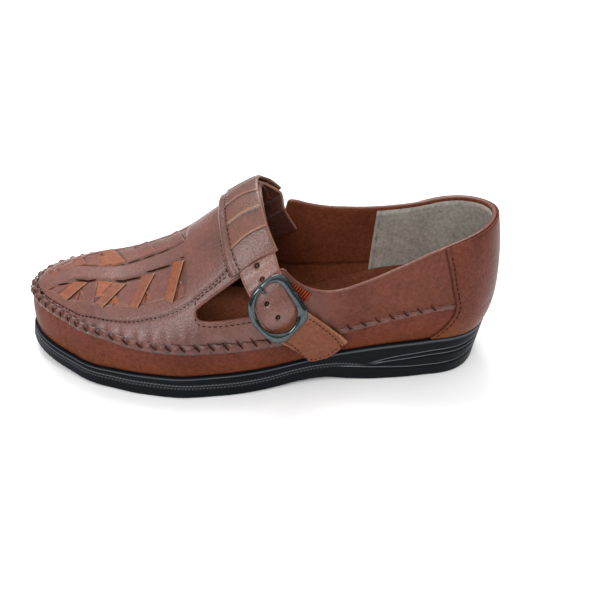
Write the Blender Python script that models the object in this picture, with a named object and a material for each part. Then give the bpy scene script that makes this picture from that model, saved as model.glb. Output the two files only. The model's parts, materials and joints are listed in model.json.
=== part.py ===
"""Woven loafer with a buckled T-strap, left shoe.

X runs from toe (-) to heel (+), Y from the outer side (-) to the inner side (+), Z up.
"""

import bmesh
import bpy
import numpy as np

MM = 0.001

# Perimeter of the shoe. Four stretches follow one another round it: the outer side from toe joint to heel,
# a half turn round the heel, the inner side back to the toe joint, and a half turn round the toe.
TOE_X = -88.0
HEEL_X = 97.0
SIDE_LENGTH = HEEL_X - TOE_X
HEEL_ARC = 107.0
TOE_ARC = 135.0
ROUND_LENGTH = 2 * SIDE_LENGTH + HEEL_ARC + TOE_ARC

# Middle line of the foot seen from above.
AXIS_COLUMNS = ("x", "y")
AXIS_ROWS = [
    (-108, 6.0), (-88, 6.0), (-60, 8.0), (-40, 7.6), (-20, 6.4), (0, 6.0), (40, 3.8), (70, 1.4),
    (97, 0.0), (117, 0.0),
]

# Stretch, place on it (x, or degrees round an end), sole edge from the middle line, height of the
# moccasin seam, and how far the seam stands out past the foot of the wall.
PERIMETER_ROWS = [
    ("outer", -88, 43.6, 34.4, -1.0), ("outer", -68, 51.8, 31.4, -0.6), ("outer", -47, 56.1, 30.8, -0.4),
    ("outer", -25, 54.0, 30.5, -0.2), ("outer", -2, 50.2, 30.9, 0.0), ("outer", 18, 44.6, 31.2, 0.0),
    ("outer", 36, 40.4, 32.0, 0.0), ("outer", 58, 38.8, 39.4, 0.2), ("outer", 80, 36.3, 45.2, 0.4),
    ("outer", 97, 33.6, 48.0, 0.8),
    ("heel", -60, 33.0, 48.8, 1.4), ("heel", -30, 32.4, 49.5, 2.0), ("heel", 0, 32.6, 50.0, 2.4),
    ("heel", 30, 32.2, 49.5, 2.0), ("heel", 60, 32.0, 48.8, 1.4),
    ("inner", 97, 31.6, 48.0, 0.8), ("inner", 80, 30.4, 45.2, 1.5), ("inner", 58, 27.0, 40.0, 3.0),
    ("inner", 36, 22.9, 34.5, 5.0), ("inner", 18, 22.4, 32.0, 5.5), ("inner", -2, 26.0, 31.5, 5.0),
    ("inner", -25, 32.8, 32.0, 3.0), ("inner", -47, 35.7, 34.5, 0.8), ("inner", -68, 35.9, 38.0, 0.0),
    ("inner", -88, 34.4, 41.4, -0.6),
    ("toe", 105, 33.9, 42.2, -0.9), ("toe", 120, 35.0, 42.2, -1.3), ("toe", 135, 38.3, 41.6, -1.8),
    ("toe", 150, 42.5, 40.8, -2.2), ("toe", 165, 46.0, 39.8, -2.4), ("toe", 180, 46.9, 38.8, -2.5),
    ("toe", 195, 44.0, 38.2, -2.4), ("toe", 210, 40.9, 37.6, -2.2), ("toe", 225, 38.7, 36.9, -1.9),
    ("toe", 240, 38.3, 36.1, -1.6), ("toe", 255, 40.5, 35.2, -1.3),
]

# Sole by x: underside height (toe spring, flat ball, arch, flat heel), top height, and how far the top
# edge stands in from the bottom edge.
SOLE_ROWS = [
    (-136, 6.6, 16.0, 1.5), (-120, 3.8, 13.4, 2.0), (-105, 1.6, 11.9, 2.0), (-88, 0.3, 11.7, 2.0),
    (-70, 0.0, 12.3, 2.0), (-46, 0.0, 12.6, 2.0), (-17, 0.0, 13.2, 1.9), (5, 1.0, 14.2, 1.7),
    (20, 2.2, 15.6, 1.4), (34, 2.0, 17.8, 1.0), (44, 0.6, 19.9, 0.8), (58, 0.0, 23.0, 0.5),
    (72, 0.0, 25.0, 0.2), (86, 0.0, 26.2, -0.2), (100, 0.0, 27.2, -0.7), (115, 0.0, 28.0, -1.4),
    (134, 0.0, 28.4, -2.4),
]

# Top of the foot by x: ridge height, inward lean of the outer and of the inner wall in degrees.
RIDGE_ROWS = [
    (-88, 53.0, 40, 38), (-75, 56.0, 34, 32), (-60, 61.5, 27, 25), (-50, 66.3, 24, 20), (-40, 73.0, 20, 15),
    (-30, 81.2, 16, 11), (-22, 87.6, 13, 8), (-12, 94.6, 12, 5), (0, 101.6, 11, 4), (20, 110.0, 8, 3),
    (40, 116.5, 7, 3), (60, 121.0, 6, 4), (97, 124.0, 5, 5),
]
WALL_HANDLE = 0.42
CROWN_HANDLE_OUTER = 0.55
CROWN_HANDLE_INNER = 0.72
WALL_BULGE = 1.0
WALL_STEP_IN = 1.6
RIDGE_BLEND = 4.0

# Opening line: side, x or degrees, height. It runs back from the cut-out under the strap, up the front of
# the quarter, along the collar and round the heel.
TOPLINE_ROWS = [
    ("outer", -37, 48.0), ("outer", -36.6, 46.4), ("outer", -35.2, 44.9), ("outer", -32, 44.2),
    ("outer", -27, 44.2), ("outer", -20, 45.0), ("outer", -12, 45.9), ("outer", -5, 46.6),
    ("outer", -0.5, 47.2), ("outer", 1.5, 49.5), ("outer", 2.6, 55), ("outer", 3.6, 61),
    ("outer", 4.8, 66.5), ("outer", 6.4, 69.6), ("outer", 8.4, 70.2), ("outer", 11, 67.6),
    ("outer", 15, 63.8), ("outer", 20, 60.6), ("outer", 26, 58.3), ("outer", 33, 57.0),
    ("outer", 41, 58.4), ("outer", 48, 61.5), ("outer", 55, 64.8), ("outer", 62, 68.4),
    ("outer", 69, 71.8), ("outer", 76, 75.3), ("outer", 83, 78.8), ("outer", 90, 81.6), ("outer", 97, 84.6),
    ("heel", -75, 87.2), ("heel", -60, 89.3), ("heel", -45, 90.7), ("heel", -30, 91.6),
    ("heel", -15, 92.0), ("heel", 0, 92.0), ("heel", 15, 91.3), ("heel", 30, 90.1), ("heel", 45, 88.6),
    ("heel", 60, 86.8), ("heel", 75, 84.9),
    ("inner", 97, 83.0), ("inner", 90, 81.4), ("inner", 83, 80.2), ("inner", 76, 79.4), ("inner", 69, 78.9),
    ("inner", 62, 78.7), ("inner", 55, 78.7), ("inner", 48, 79.1), ("inner", 40, 79.6),
    ("inner", 31, 80.9), ("inner", 24, 82.5), ("inner", 18.5, 84.2), ("inner", 14.8, 84.4),
    ("inner", 13.6, 80.6),
    ("inner", 13, 72), ("inner", 10.2, 64), ("inner", 7.4, 56), ("inner", 4.4, 50.2),
    ("inner", 0.5, 47.7), ("inner", -5, 46.6), ("inner", -12, 45.9), ("inner", -20, 45.0),
    ("inner", -27, 44.2), ("inner", -32, 44.2), ("inner", -35.2, 44.9), ("inner", -36.6, 46.4),
    ("inner", -37, 48.0),
]

# Vamp tongue between the two cut-outs: x and height of its edge, x of the ridge on the same line.
TONGUE_ROWS = [
    (-37, 48.0, -37), (-36.7, 49.4, -36.7), (-35.4, 51.0, -35.6), (-32, 53.6, -32.8),
    (-27, 57.2, -28.4), (-20, 62.2, -22.6), (-12, 67.6, -16.0), (-4, 73.0, -9.3), (4, 78.2, -2.6),
]
# The inner edge of the tongue stops higher, where the strap dips behind the quarter.
TONGUE_INNER_RISE = 7.5

UPPER_WALL = 2.2
UPPER_LIFT = 0.3
ROWS_BELOW_SEAM = 2
ROWS_TO_SPLIT = 4
ROWS_TO_RIDGE = 5


def curve(at, xs, ys):
    """Smooth curve through the points (xs, ys), held level past its ends."""
    xs = np.asarray(xs, float)
    ys = np.asarray(ys, float)
    slope = np.gradient(ys, xs)
    at = np.clip(at, xs[0], xs[-1])
    i = np.clip(np.searchsorted(xs, at) - 1, 0, len(xs) - 2)
    width = xs[i + 1] - xs[i]
    t = (at - xs[i]) / width
    start = (1 + 2 * t) * (1 - t) ** 2 * ys[i] + t * (1 - t) ** 2 * width * slope[i]
    return start + t * t * (3 - 2 * t) * ys[i + 1] + t * t * (t - 1) * width * slope[i + 1]


def column(rows, n):
    return [row[n] for row in rows]


def station(stretch, at):
    """Distance round the perimeter of a place on one of its stretches."""
    if stretch == "outer":
        return at - TOE_X
    if stretch == "heel":
        return SIDE_LENGTH + (at + 90) / 180 * HEEL_ARC
    if stretch == "inner":
        return SIDE_LENGTH + HEEL_ARC + HEEL_X - at
    return 2 * SIDE_LENGTH + HEEL_ARC + (at - 90) / 180 * TOE_ARC


def spoke(s):
    """Foot and direction of the upright plane that holds station s: x, y of its foot, then its direction."""
    s = np.mod(s, ROUND_LENGTH)
    heel_end = SIDE_LENGTH + HEEL_ARC
    toe_start = heel_end + SIDE_LENGTH
    x = np.select(
        [s < SIDE_LENGTH, s < heel_end, s < toe_start],
        [TOE_X + s, HEEL_X, HEEL_X - (s - heel_end)],
        TOE_X,
    )
    turn = np.select(
        [s < SIDE_LENGTH, s < heel_end, s < toe_start],
        [-90, -90 + 180 * (s - SIDE_LENGTH) / HEEL_ARC, 90],
        90 + 180 * (s - toe_start) / TOE_ARC,
    )
    turn = np.radians(turn)
    y = curve(x, column(AXIS_ROWS, 0), column(AXIS_ROWS, 1))
    return x, y, np.cos(turn), np.sin(turn)


def round_value(s, n):
    """Column n of the perimeter table at station s."""
    known = sorted((station(row[0], row[1]), row[n]) for row in PERIMETER_ROWS)
    places = np.array(column(known, 0))
    values = np.array(column(known, 1))
    wrap = 3
    places = np.concatenate([places[-wrap:] - ROUND_LENGTH, places, places[:wrap] + ROUND_LENGTH])
    values = np.concatenate([values[-wrap:], values, values[:wrap]])
    return curve(np.mod(s, ROUND_LENGTH), places, values)


def sole_value(x, n):
    return curve(x, column(SOLE_ROWS, 0), column(SOLE_ROWS, n))


def ridge_value(x, n):
    return curve(x, column(RIDGE_ROWS, 0), column(RIDGE_ROWS, n))


def sole_edge(s):
    """Radius of the sole's bottom edge and x of that edge."""
    x, _, dx, _ = spoke(s)
    radius = round_value(s, 2)
    return radius, x + radius * dx


def wall(s, v):
    """Outer face of the upper. v 0 is the foot of the wall, 1 the moccasin seam, 2 the ridge."""
    s, v = np.broadcast_arrays(np.asarray(s, float), np.asarray(v, float))
    x, y, dx, dy = spoke(s)
    edge, edge_x = sole_edge(s)
    foot_r = edge - sole_value(edge_x, 3) - WALL_STEP_IN
    foot_z = sole_value(edge_x, 2) + UPPER_LIFT
    seam_r = foot_r + round_value(s, 4)
    seam_z = round_value(s, 3)
    low_r = foot_r + (seam_r - foot_r) * v + WALL_BULGE * 4 * np.clip(v, 0, 1) * (1 - np.clip(v, 0, 1))
    low_z = foot_z + (seam_z - foot_z) * v

    top_z = ridge_value(x, 1)
    nudge = 1.0
    slope = (ridge_value(x + nudge, 1) - ridge_value(x - nudge, 1)) / (2 * nudge)
    toe_slope = (ridge_value(TOE_X + nudge, 1) - ridge_value(TOE_X, 1)) / nudge
    slope = np.where(x <= TOE_X, toe_slope, np.where(x >= HEEL_X, 0, slope))
    inner_share = (dy + 1) / 2
    lean = np.radians(ridge_value(x, 2) * (1 - inner_share) + ridge_value(x, 3) * inner_share)
    handle = WALL_HANDLE * (top_z - seam_z)
    one_r = seam_r - handle * np.sin(lean)
    one_z = seam_z + handle * np.cos(lean)
    two_r = (CROWN_HANDLE_OUTER * (1 - inner_share) + CROWN_HANDLE_INNER * inner_share) * seam_r
    two_z = top_z + slope * dx * two_r
    t = np.clip(v - 1, 0, 1)
    q = 1 - t
    high_r = seam_r * q**3 + 3 * one_r * q * q * t + 3 * two_r * q * t * t
    high_z = seam_z * q**3 + 3 * one_z * q * q * t + 3 * two_z * q * t * t + top_z * t**3
    r = np.where(v <= 1, low_r, high_r)
    z = np.where(v <= 1, low_z, high_z)
    return np.stack([x + r * dx, y + r * dy, z], -1)


def wall_normal(s, v):
    """Outward direction of the wall at (s, v)."""
    along = wall(s + 0.4, v) - wall(s - 0.4, v)
    up = wall(s, np.minimum(v + 0.01, 2)) - wall(s, np.minimum(v, 1.99) - 0.01)
    n = np.cross(along, up)
    return n / np.linalg.norm(n, axis=-1, keepdims=True)


def v_at_height(s, z):
    """v at which the wall of each station s reaches the height z."""
    s, z = np.broadcast_arrays(np.asarray(s, float), np.asarray(z, float))
    steps = np.linspace(-0.4, 2, 241)
    heights = wall(s.reshape(-1, 1), steps[None, :])[..., 2]
    found = [np.interp(zz, hh, steps) for zz, hh in zip(z.ravel(), heights)]
    return np.array(found).reshape(s.shape)


def on_last(x, girth):
    """Point and outward direction of the wall at x, a girth in mm from the ridge: - outer, + inner side."""
    x, girth = np.broadcast_arrays(np.asarray(x, float), np.asarray(girth, float))
    steps = np.linspace(-0.4, 2, 241)
    point = np.zeros(x.shape + (3,))
    normal = np.zeros(x.shape + (3,))
    for side, sign in (("outer", -1), ("inner", 1)):
        s = station(side, x)
        section = wall(s[..., None], steps)
        length = np.linalg.norm(np.diff(section, axis=-2), axis=-1)
        left = np.cumsum(length[..., ::-1], axis=-1)[..., ::-1]
        left = np.concatenate([left, np.zeros(left.shape[:-1] + (1,))], -1)
        want = np.maximum(sign * girth, 0)
        v = np.array([np.interp(-w, -l, steps) for w, l in zip(want.ravel(), left.reshape(-1, len(steps)))])
        v = v.reshape(x.shape)
        share = np.clip(0.5 + sign * girth / (2 * RIDGE_BLEND), 0, 1)[..., None]
        chosen = (sign * girth >= 0)[..., None]
        point = np.where(chosen, wall(s, v), point)
        normal = normal + share * wall_normal(s, v)
    return point, normal / np.linalg.norm(normal, axis=-1, keepdims=True)


def band_line(rows, first, across, along):
    """x and girth over a band: rows hold (girth, x) of its front, middle and rear from column first on."""
    place = np.arange(len(rows), dtype=float)
    corner = [[curve(along, place, column(rows, first + 2 * k + n)) for n in (0, 1)] for k in range(3)]
    weight = ((1 - across) * (1 - 2 * across), 4 * across * (1 - across), across * (2 * across - 1))
    girth = sum(w[None, :] * c[0][:, None] for w, c in zip(weight, corner))
    x = sum(w[None, :] * c[1][:, None] for w, c in zip(weight, corner))
    return x, girth


def stepped(along, values):
    """Values held at each row and eased between rows."""
    i = np.clip(np.floor(along).astype(int), 0, len(values) - 2)
    t = along - i
    values = np.asarray(values, float)
    return values[i] + (values[i + 1] - values[i]) * t * t * (3 - 2 * t)


class Sheet:
    """Faces gathered patch by patch, joined where their corners meet."""

    def __init__(self):
        self.points = []
        self.faces = []

    def add(self, grid):
        """Adds a grid of points of shape (rows, columns, 3)."""
        rows, columns = grid.shape[:2]
        first = sum(len(p) for p in self.points)
        index = first + np.arange(rows * columns).reshape(rows, columns)
        a, b = index[:-1, :-1], index[:-1, 1:]
        c, d = index[1:, 1:], index[1:, :-1]
        self.points.append(grid.reshape(-1, 3))
        self.faces.append(np.stack([a, b, c, d], -1).reshape(-1, 4))

    def build(self, name, material, weld=0.01):
        points = np.concatenate(self.points) * MM
        mesh = bpy.data.meshes.new(name)
        mesh.from_pydata(points.tolist(), [], np.concatenate(self.faces).tolist())
        work = bmesh.new()
        work.from_mesh(mesh)
        bmesh.ops.remove_doubles(work, verts=work.verts, dist=weld * MM)
        bmesh.ops.dissolve_degenerate(work, edges=work.edges, dist=weld * MM)
        bmesh.ops.recalc_face_normals(work, faces=work.faces)
        work.to_mesh(mesh)
        work.free()
        mesh.shade_smooth()
        mesh.materials.append(material)
        part = bpy.data.objects.new(name, mesh)
        bpy.context.scene.collection.objects.link(part)
        return part


def thicken(part, thickness, side):
    """Gives a sheet its wall: side -1 grows it inwards, 1 outwards."""
    made = part.modifiers.new("wall", "SOLIDIFY")
    made.thickness = thickness * MM
    made.offset = side
    made.use_even_offset = False
    made.use_rim = True
    return made


def finish(name, colour, roughness, metallic=0.0):
    material = bpy.data.materials.new(name)
    material.use_nodes = True
    shader = material.node_tree.nodes["Principled BSDF"]
    shader.inputs["Base Color"].default_value = (*colour, 1.0)
    shader.inputs["Roughness"].default_value = roughness
    shader.inputs["Metallic"].default_value = metallic
    return material


def clear_scene():
    for old in list(bpy.data.objects):
        bpy.data.objects.remove(old, do_unlink=True)


def side_places(low, high, step):
    count = max(1, round((high - low) / step))
    return np.linspace(low, high, count + 1)


# Upper
CLOSED_STEP = 4.2
TOE_STEPS = 22


def topline_patch(rows):
    """Wall from its foot to the opening line over one run of the opening table."""
    places = np.array([station(row[0], row[1]) for row in rows])
    tops = v_at_height(places, np.array([row[2] for row in rows]))
    low = np.linspace(0, 1, ROWS_BELOW_SEAM + 1)
    high = np.linspace(0, 1, ROWS_TO_SPLIT + 1)[1:]
    v = np.concatenate([np.repeat(low[:, None], len(places), 1), 1 + high[:, None] * (tops - 1)[None, :]])
    return wall(np.repeat(places[None, :], len(v), 0), v)


def closed_patch(places, v_split):
    low = np.linspace(0, 1, ROWS_BELOW_SEAM + 1)
    high = 1 + np.linspace(0, 1, ROWS_TO_SPLIT + 1)[1:] * (v_split - 1)
    crown = v_split + np.linspace(0, 1, ROWS_TO_RIDGE + 1)[1:] * (2 - v_split)
    v = np.concatenate([low, high, crown])
    return wall(places[None, :], v[:, None])


def tongue_patch(side):
    edge_x = np.array(column(TONGUE_ROWS, 0), float)
    ridge_x = np.array(column(TONGUE_ROWS, 2), float)
    rise = TONGUE_INNER_RISE if side == "inner" else 0.0
    height = np.array(column(TONGUE_ROWS, 1)) + rise * np.linspace(0, 1, len(TONGUE_ROWS)) ** 2
    edge_v = v_at_height(station(side, edge_x), height)
    t = np.linspace(0, 1, ROWS_TO_RIDGE + 1)[:, None]
    x = edge_x + (ridge_x - edge_x) * t * (2 - t)
    v = edge_v + (2 - edge_v) * t
    return wall(station(side, x), v)


def build_upper(material):
    sheet = Sheet()
    sheet.add(topline_patch(TOPLINE_ROWS))
    tip = TONGUE_ROWS[0]
    for side in ("outer", "inner"):
        v_split = float(v_at_height(station(side, tip[0]), tip[1]))
        places = station(side, side_places(TOE_X, tip[0], CLOSED_STEP))
        sheet.add(closed_patch(places, v_split))
        sheet.add(tongue_patch(side))
    outer_split = float(v_at_height(station("outer", tip[0]), tip[1]))
    inner_split = float(v_at_height(station("inner", tip[0]), tip[1]))
    turn = np.linspace(90, 270, TOE_STEPS + 1)
    share = (turn - 90) / 180
    split = inner_split + (outer_split - inner_split) * share
    low = np.linspace(0, 1, ROWS_BELOW_SEAM + 1)[:, None] + 0 * split
    high = 1 + np.linspace(0, 1, ROWS_TO_SPLIT + 1)[1:, None] * (split - 1)
    crown = split + np.linspace(0, 1, ROWS_TO_RIDGE + 1)[1:, None] * (2 - split)
    v = np.concatenate([low, high, crown])
    sheet.add(wall(np.repeat(station("toe", turn)[None, :], len(v), 0), v))
    upper = sheet.build("upper", material)
    thicken(upper, UPPER_WALL, -1)
    return upper


# Sole
SOLE_RINGS = (0.0, 0.5, 0.92)
SOLE_EDGE_ROUND = 1.4


def perimeter_places(step, heel_steps, toe_steps):
    sides = side_places(TOE_X, HEEL_X, step)
    heel = np.linspace(-90, 90, heel_steps + 1)[1:-1]
    toe = np.linspace(90, 270, toe_steps + 1)[1:]
    return np.concatenate([
        station("outer", sides), station("heel", heel), station("inner", sides[::-1]), station("toe", toe),
    ])


def build_sole(material):
    """Moulded unit sole: toe spring and arch below, a side that leans in, a level top for the upper."""
    s = perimeter_places(6.6, 18, 20)
    x, y, dx, dy = spoke(s)
    edge, edge_x = sole_edge(s)
    low = sole_value(edge_x, 1)
    high = sole_value(edge_x, 2)
    inset = sole_value(edge_x, 3)
    rows = []
    for share in SOLE_RINGS:
        r = share * (edge - SOLE_EDGE_ROUND)
        rows.append((r, sole_value(x + r * dx, 1)))
    rows.append((edge - SOLE_EDGE_ROUND, low))
    rows.append((edge - 0.3 * SOLE_EDGE_ROUND, low + 0.3 * SOLE_EDGE_ROUND))
    rows.append((edge, low + SOLE_EDGE_ROUND))
    rows.append((edge - 0.35 * inset, low + 0.5 * (high - low)))
    rows.append((edge - inset, high - 0.6))
    rows.append((edge - inset - 0.6, high))
    for share in SOLE_RINGS[::-1]:
        r = share * (edge - inset - 0.6)
        rows.append((r, sole_value(x + r * dx, 2)))
    grid = np.stack([np.stack([x + r * dx, y + r * dy, z + 0 * x], -1) for r, z in rows])
    sheet = Sheet()
    sheet.add(grid)
    return sheet.build("unit_sole", material)


# Footbed
INSOLE_GAP = 0.4
# x, height of the footbed over the sole's top, and rise of its cupped rim.
INSOLE_ROWS = [
    (-136, 3.2, 0.6), (-90, 3.6, 0.8), (-40, 4.2, 1.2), (0, 5.4, 3.0), (40, 6.4, 4.6), (134, 6.4, 4.6),
]


def build_insole(material):
    """Cupped footbed that lies on the sole inside the wall."""
    s = perimeter_places(8.4, 14, 15)
    x, y, dx, dy = spoke(s)
    edge, edge_x = sole_edge(s)
    reach = edge - sole_value(edge_x, 3) - WALL_STEP_IN - UPPER_WALL - INSOLE_GAP - 0.3
    xs = column(INSOLE_ROWS, 0)
    rows = []
    for share in (0.0, 0.6, 1.0):
        r = share * reach
        rows.append((r, sole_value(x + r * dx, 2) + INSOLE_GAP))
    for share in (1.0, 0.94, 0.82, 0.62, 0.0):
        r = share * reach
        lift = curve(x + r * dx, xs, column(INSOLE_ROWS, 1))
        cup = curve(x + r * dx, xs, column(INSOLE_ROWS, 2)) * share**5
        rows.append((r, sole_value(x + r * dx, 2) + lift + cup))
    grid = np.stack([np.stack([x + r * dx, y + r * dy, z + 0 * x], -1) for r, z in rows])
    sheet = Sheet()
    sheet.add(grid)
    return sheet.build("insole", material)


# Heel counter: how far up the wall, and distance of its front edge from the heel centre.
COUNTER_ROWS = [(0, 60.0), (0.13, 55.2), (0.33, 50.2), (0.5, 49.0), (0.67, 52.6), (0.84, 56.1), (1.0, 59.6)]
COUNTER_GAP = 0.3
COUNTER_WALL = 1.3
COUNTER_LOW = 0.04
COUNTER_BELOW_COLLAR = 1.6
HEEL_CENTRE = SIDE_LENGTH + HEEL_ARC / 2


def topline_height(s):
    """Height of the opening line over the collar at station s."""
    rows = [row for row in TOPLINE_ROWS if row[0] == "heel" or row[1] > 20]
    return curve(s, [station(row[0], row[1]) for row in rows], column(rows, 2))


def build_counter(material):
    up = np.linspace(0, 1, 9)[:, None]
    across = np.linspace(-1, 1, 27)[None, :]
    reach = curve(up, column(COUNTER_ROWS, 0), column(COUNTER_ROWS, 1))
    s = HEEL_CENTRE + reach * across
    top = v_at_height(s, topline_height(s) - COUNTER_BELOW_COLLAR)
    v = np.where(up <= 0.5, COUNTER_LOW + (1 - COUNTER_LOW) * 2 * up, 1 + (top - 1) * (2 * up - 1))
    sheet = Sheet()
    sheet.add(wall(s, v) + COUNTER_GAP * wall_normal(s, v))
    counter = sheet.build("heel_counter", material)
    thicken(counter, COUNTER_WALL, 1)
    return counter


# Strap, from its free end on the outer side over the instep to the inner quarter.
# Columns: girth and x of the front edge, of the middle, of the rear edge, then height off the wall.
STRAP_ROWS = [
    (-104.6, 19.8, -110.4, 30.0, -101.6, 44.3, 1.4), (-100.0, 15.8, -102.5, 27.0, -96.8, 39.8, 1.4),
    (-95.8, 11.6, -93.0, 21.4, -88.4, 31.6, 1.8), (-91.5, 7.8, -84.8, 14.2, -77.6, 21.2, 3.4),
    (-83.6, 0.8, -77.3, 8.4, -70.9, 16.0, 3.7), (-74.3, -4.2, -69.2, 3.5, -64.1, 11.0, 3.7),
    (-65.9, -6.9, -61.5, 0.8, -57.1, 9.0, 3.7), (-57.5, -9.6, -54.2, -1.6, -50.9, 6.3, 2.8),
    (-48.0, -13.1, -44.4, -4.5, -41.4, 4.0, 0.5), (-29.5, -17.5, -27.6, -9.4, -25.6, -1.5, 0.3),
    (-14.8, -18.9, -13.3, -11.2, -11.8, -3.8, 0.3), (0.0, -19.1, 0.0, -11.4, 0.0, -4.2, 0.3),
    (12.0, -18.2, 11.0, -9.8, 10.0, -1.9, 0.3), (24.0, -15.2, 21.0, -6.0, 18.0, 3.2, 0.3),
    (33.5, -11.0, 30.5, -0.4, 26.7, 10.0, 0.3), (43.0, -5.5, 39.5, 3.5, 35.2, 12.5, -4.9),
    (50.0, -2.0, 47.0, 7.0, 43.5, 16.0, -4.9), (58.4, 2.0, 55.2, 11.0, 52.1, 20.0, -4.9),
]
STRAP_THICK = 2.0
STRAP_HOLES = [(-45.2, -5.0), (-52.8, -2.6), (-65.2, -0.9), (-74.0, 4.3)]
HOLE_R = 1.0
PRONG_HOLE_R = 1.7


def build_strap(material):
    along = np.concatenate([np.linspace(0, 2, 6)[:-1], np.linspace(2, 13, 28)[:-1], np.linspace(13, 17, 13)])
    across = np.linspace(0, 1, 5)
    x, girth = band_line(STRAP_ROWS, 0, across, along)
    point, normal = on_last(x, girth)
    lift = stepped(along, column(STRAP_ROWS, 6))[:, None, None]
    sheet = Sheet()
    sheet.add(point + lift * normal)
    strap = sheet.build("strap", material)
    thicken(strap, STRAP_THICK, 1)
    return strap


# Saddle over the strap. Columns: girth and x of its front, middle and rear line.
SADDLE_ROWS = [
    (-45.2, -14.6, -42.0, -4.6, -41.4, 5.2), (-36.8, -17.3, -34.6, -7.4, -33.0, 2.2),
    (-25.5, -18.9, -24.2, -9.8, -23.2, -0.3), (-12.4, -19.9, -11.4, -11.0, -10.6, -2.2),
    (0.0, -20.1, 0.0, -11.3, 0.0, -2.6), (12.0, -19.2, 11.0, -9.7, 10.0, -0.3),
    (23.0, -16.6, 20.0, -6.3, 17.0, 4.1), (34.0, -12.6, 29.6, -1.4, 25.4, 9.6),
]
SADDLE_THICK = 1.6
SADDLE_FOOT = 0.4
SADDLE_CLEAR = 2.8
SADDLE_SPREAD = 0.5


def build_saddle(material):
    along = np.linspace(0, len(SADDLE_ROWS) - 1, 22)
    across = np.array([0.0, 0.006, 0.025, 0.25, 0.5, 0.75, 0.975, 0.994, 1.0])
    x, girth = band_line(SADDLE_ROWS, 0, across, along)
    x = x + SADDLE_SPREAD * (2 * across - 1)
    point, normal = on_last(x, girth)
    turned_down = [SADDLE_FOOT, SADDLE_CLEAR - 0.5]
    lift = np.array(turned_down + [SADDLE_CLEAR] * 5 + turned_down[::-1])[None, :, None]
    sheet = Sheet()
    sheet.add(point + lift * normal)
    saddle = sheet.build("saddle", material)
    thicken(saddle, SADDLE_THICK, 1)
    return saddle


# Elastic gore beside the buckle: girth and x of its two ends.
GORE_ROWS = [(-59.6, 12.4, -64.6, 17.9, -69.6, 23.4), (-65.6, 6.4, -70.8, 11.6, -75.8, 16.8)]
GORE_THICK = 0.8


def build_gore(material):
    along = np.linspace(0, 1, 5)
    x, girth = band_line(GORE_ROWS, 0, np.linspace(0, 1, 7), along)
    point, normal = on_last(x, girth)
    sheet = Sheet()
    sheet.add(point + 0.3 * normal)
    gore = sheet.build("elastic_gore", material)
    thicken(gore, GORE_THICK, 1)
    return gore


# Buckle, in its own plane: a runs across the strap to the rear, b down the strap, h off the wall.
BUCKLE_X = 4.6
BUCKLE_GIRTH = 69.4
BUCKLE_TURN = 53.5
FRAME_LOW = 6.35
FRAME_TALL = 2.6
# Angle from a towards b in degrees, outer and inner radius of the frame.
FRAME_ROWS = [
    (-180, 14.9, 12.0), (-150, 15.6, 12.1), (-120, 16.2, 12.9), (-90, 16.6, 14.2), (-75, 17.4, 14.7),
    (-60, 18.5, 14.3), (-45, 17.9, 12.0), (-30, 14.8, 9.8), (-15, 12.7, 8.6), (0, 12.5, 8.1),
    (15, 12.7, 8.2), (30, 13.6, 8.8), (45, 15.4, 9.6), (60, 16.2, 10.4), (75, 15.6, 11.4),
    (90, 15.7, 12.4), (105, 16.8, 13.2), (120, 18.3, 13.2), (130, 18.6, 13.1), (145, 17.2, 13.1),
    (160, 15.7, 12.6), (180, 14.9, 12.0),
]
BAR_R = 0.75
BAR_H = 2.7
BAR_LEFT = -13.4
BAR_RIGHT = 10.2
PRONG_R = 0.6
PRONG_A = -0.7
HOOK_R = 1.7
# b and h of the prong's centre line after the hook round the bar.
PRONG_ROWS = [
    (-1.7, 2.7), (-5.5, 2.4), (-9.6, 1.9), (-11.2, 2.5), (-11.9, 4.4), (-12.1, 7.0), (-12.6, 9.2),
    (-14.0, 9.9), (-16.0, 9.9), (-17.6, 9.5),
]
PRONG_HOLE_B = -11.7


def buckle_axes():
    """Foot of the buckle's plane on the wall and its a, b and h directions."""
    foot, h = on_last(np.array(BUCKLE_X), np.array(-BUCKLE_GIRTH))
    level = np.array([1.0, 0.0, 0.0]) - h * h[0]
    level /= np.linalg.norm(level)
    down = np.cross(h, level)
    down *= -np.sign(down[2])
    turn = np.radians(BUCKLE_TURN)
    b = np.cos(turn) * level + np.sin(turn) * down
    a = np.cross(b, h)
    a *= np.sign(a[0])
    return foot, a, b, h


def from_buckle(a_mm, b_mm, h_mm):
    foot, a, b, h = buckle_axes()
    a_mm, b_mm, h_mm = np.broadcast_arrays(a_mm, b_mm, h_mm)
    return foot + a_mm[..., None] * a + b_mm[..., None] * b + h_mm[..., None] * h


def tube(name, path, radius, material, sides=10):
    """Round wire along a path of points with closed ends."""
    path = np.asarray(path, float)
    ahead = np.gradient(path, axis=0)
    ahead /= np.linalg.norm(ahead, axis=1, keepdims=True)
    side = np.zeros_like(path)
    known = np.cross(ahead[0], [0.31, 0.52, 0.79])
    for i, direction in enumerate(ahead):
        known = known - direction * (known @ direction)
        known /= np.linalg.norm(known)
        side[i] = known
    over = np.cross(ahead, side)
    turn = np.linspace(0, 2 * np.pi, sides + 1)
    wide = np.full(len(path), radius)
    ring = path[:, None] + wide[:, None, None] * (
        np.cos(turn)[None, :, None] * side[:, None] + np.sin(turn)[None, :, None] * over[:, None]
    )
    first = np.repeat(path[:1, None], sides + 1, 1)
    last = np.repeat(path[-1:, None], sides + 1, 1)
    sheet = Sheet()
    sheet.add(np.concatenate([first, ring, last]))
    return sheet.build(name, material)


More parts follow.
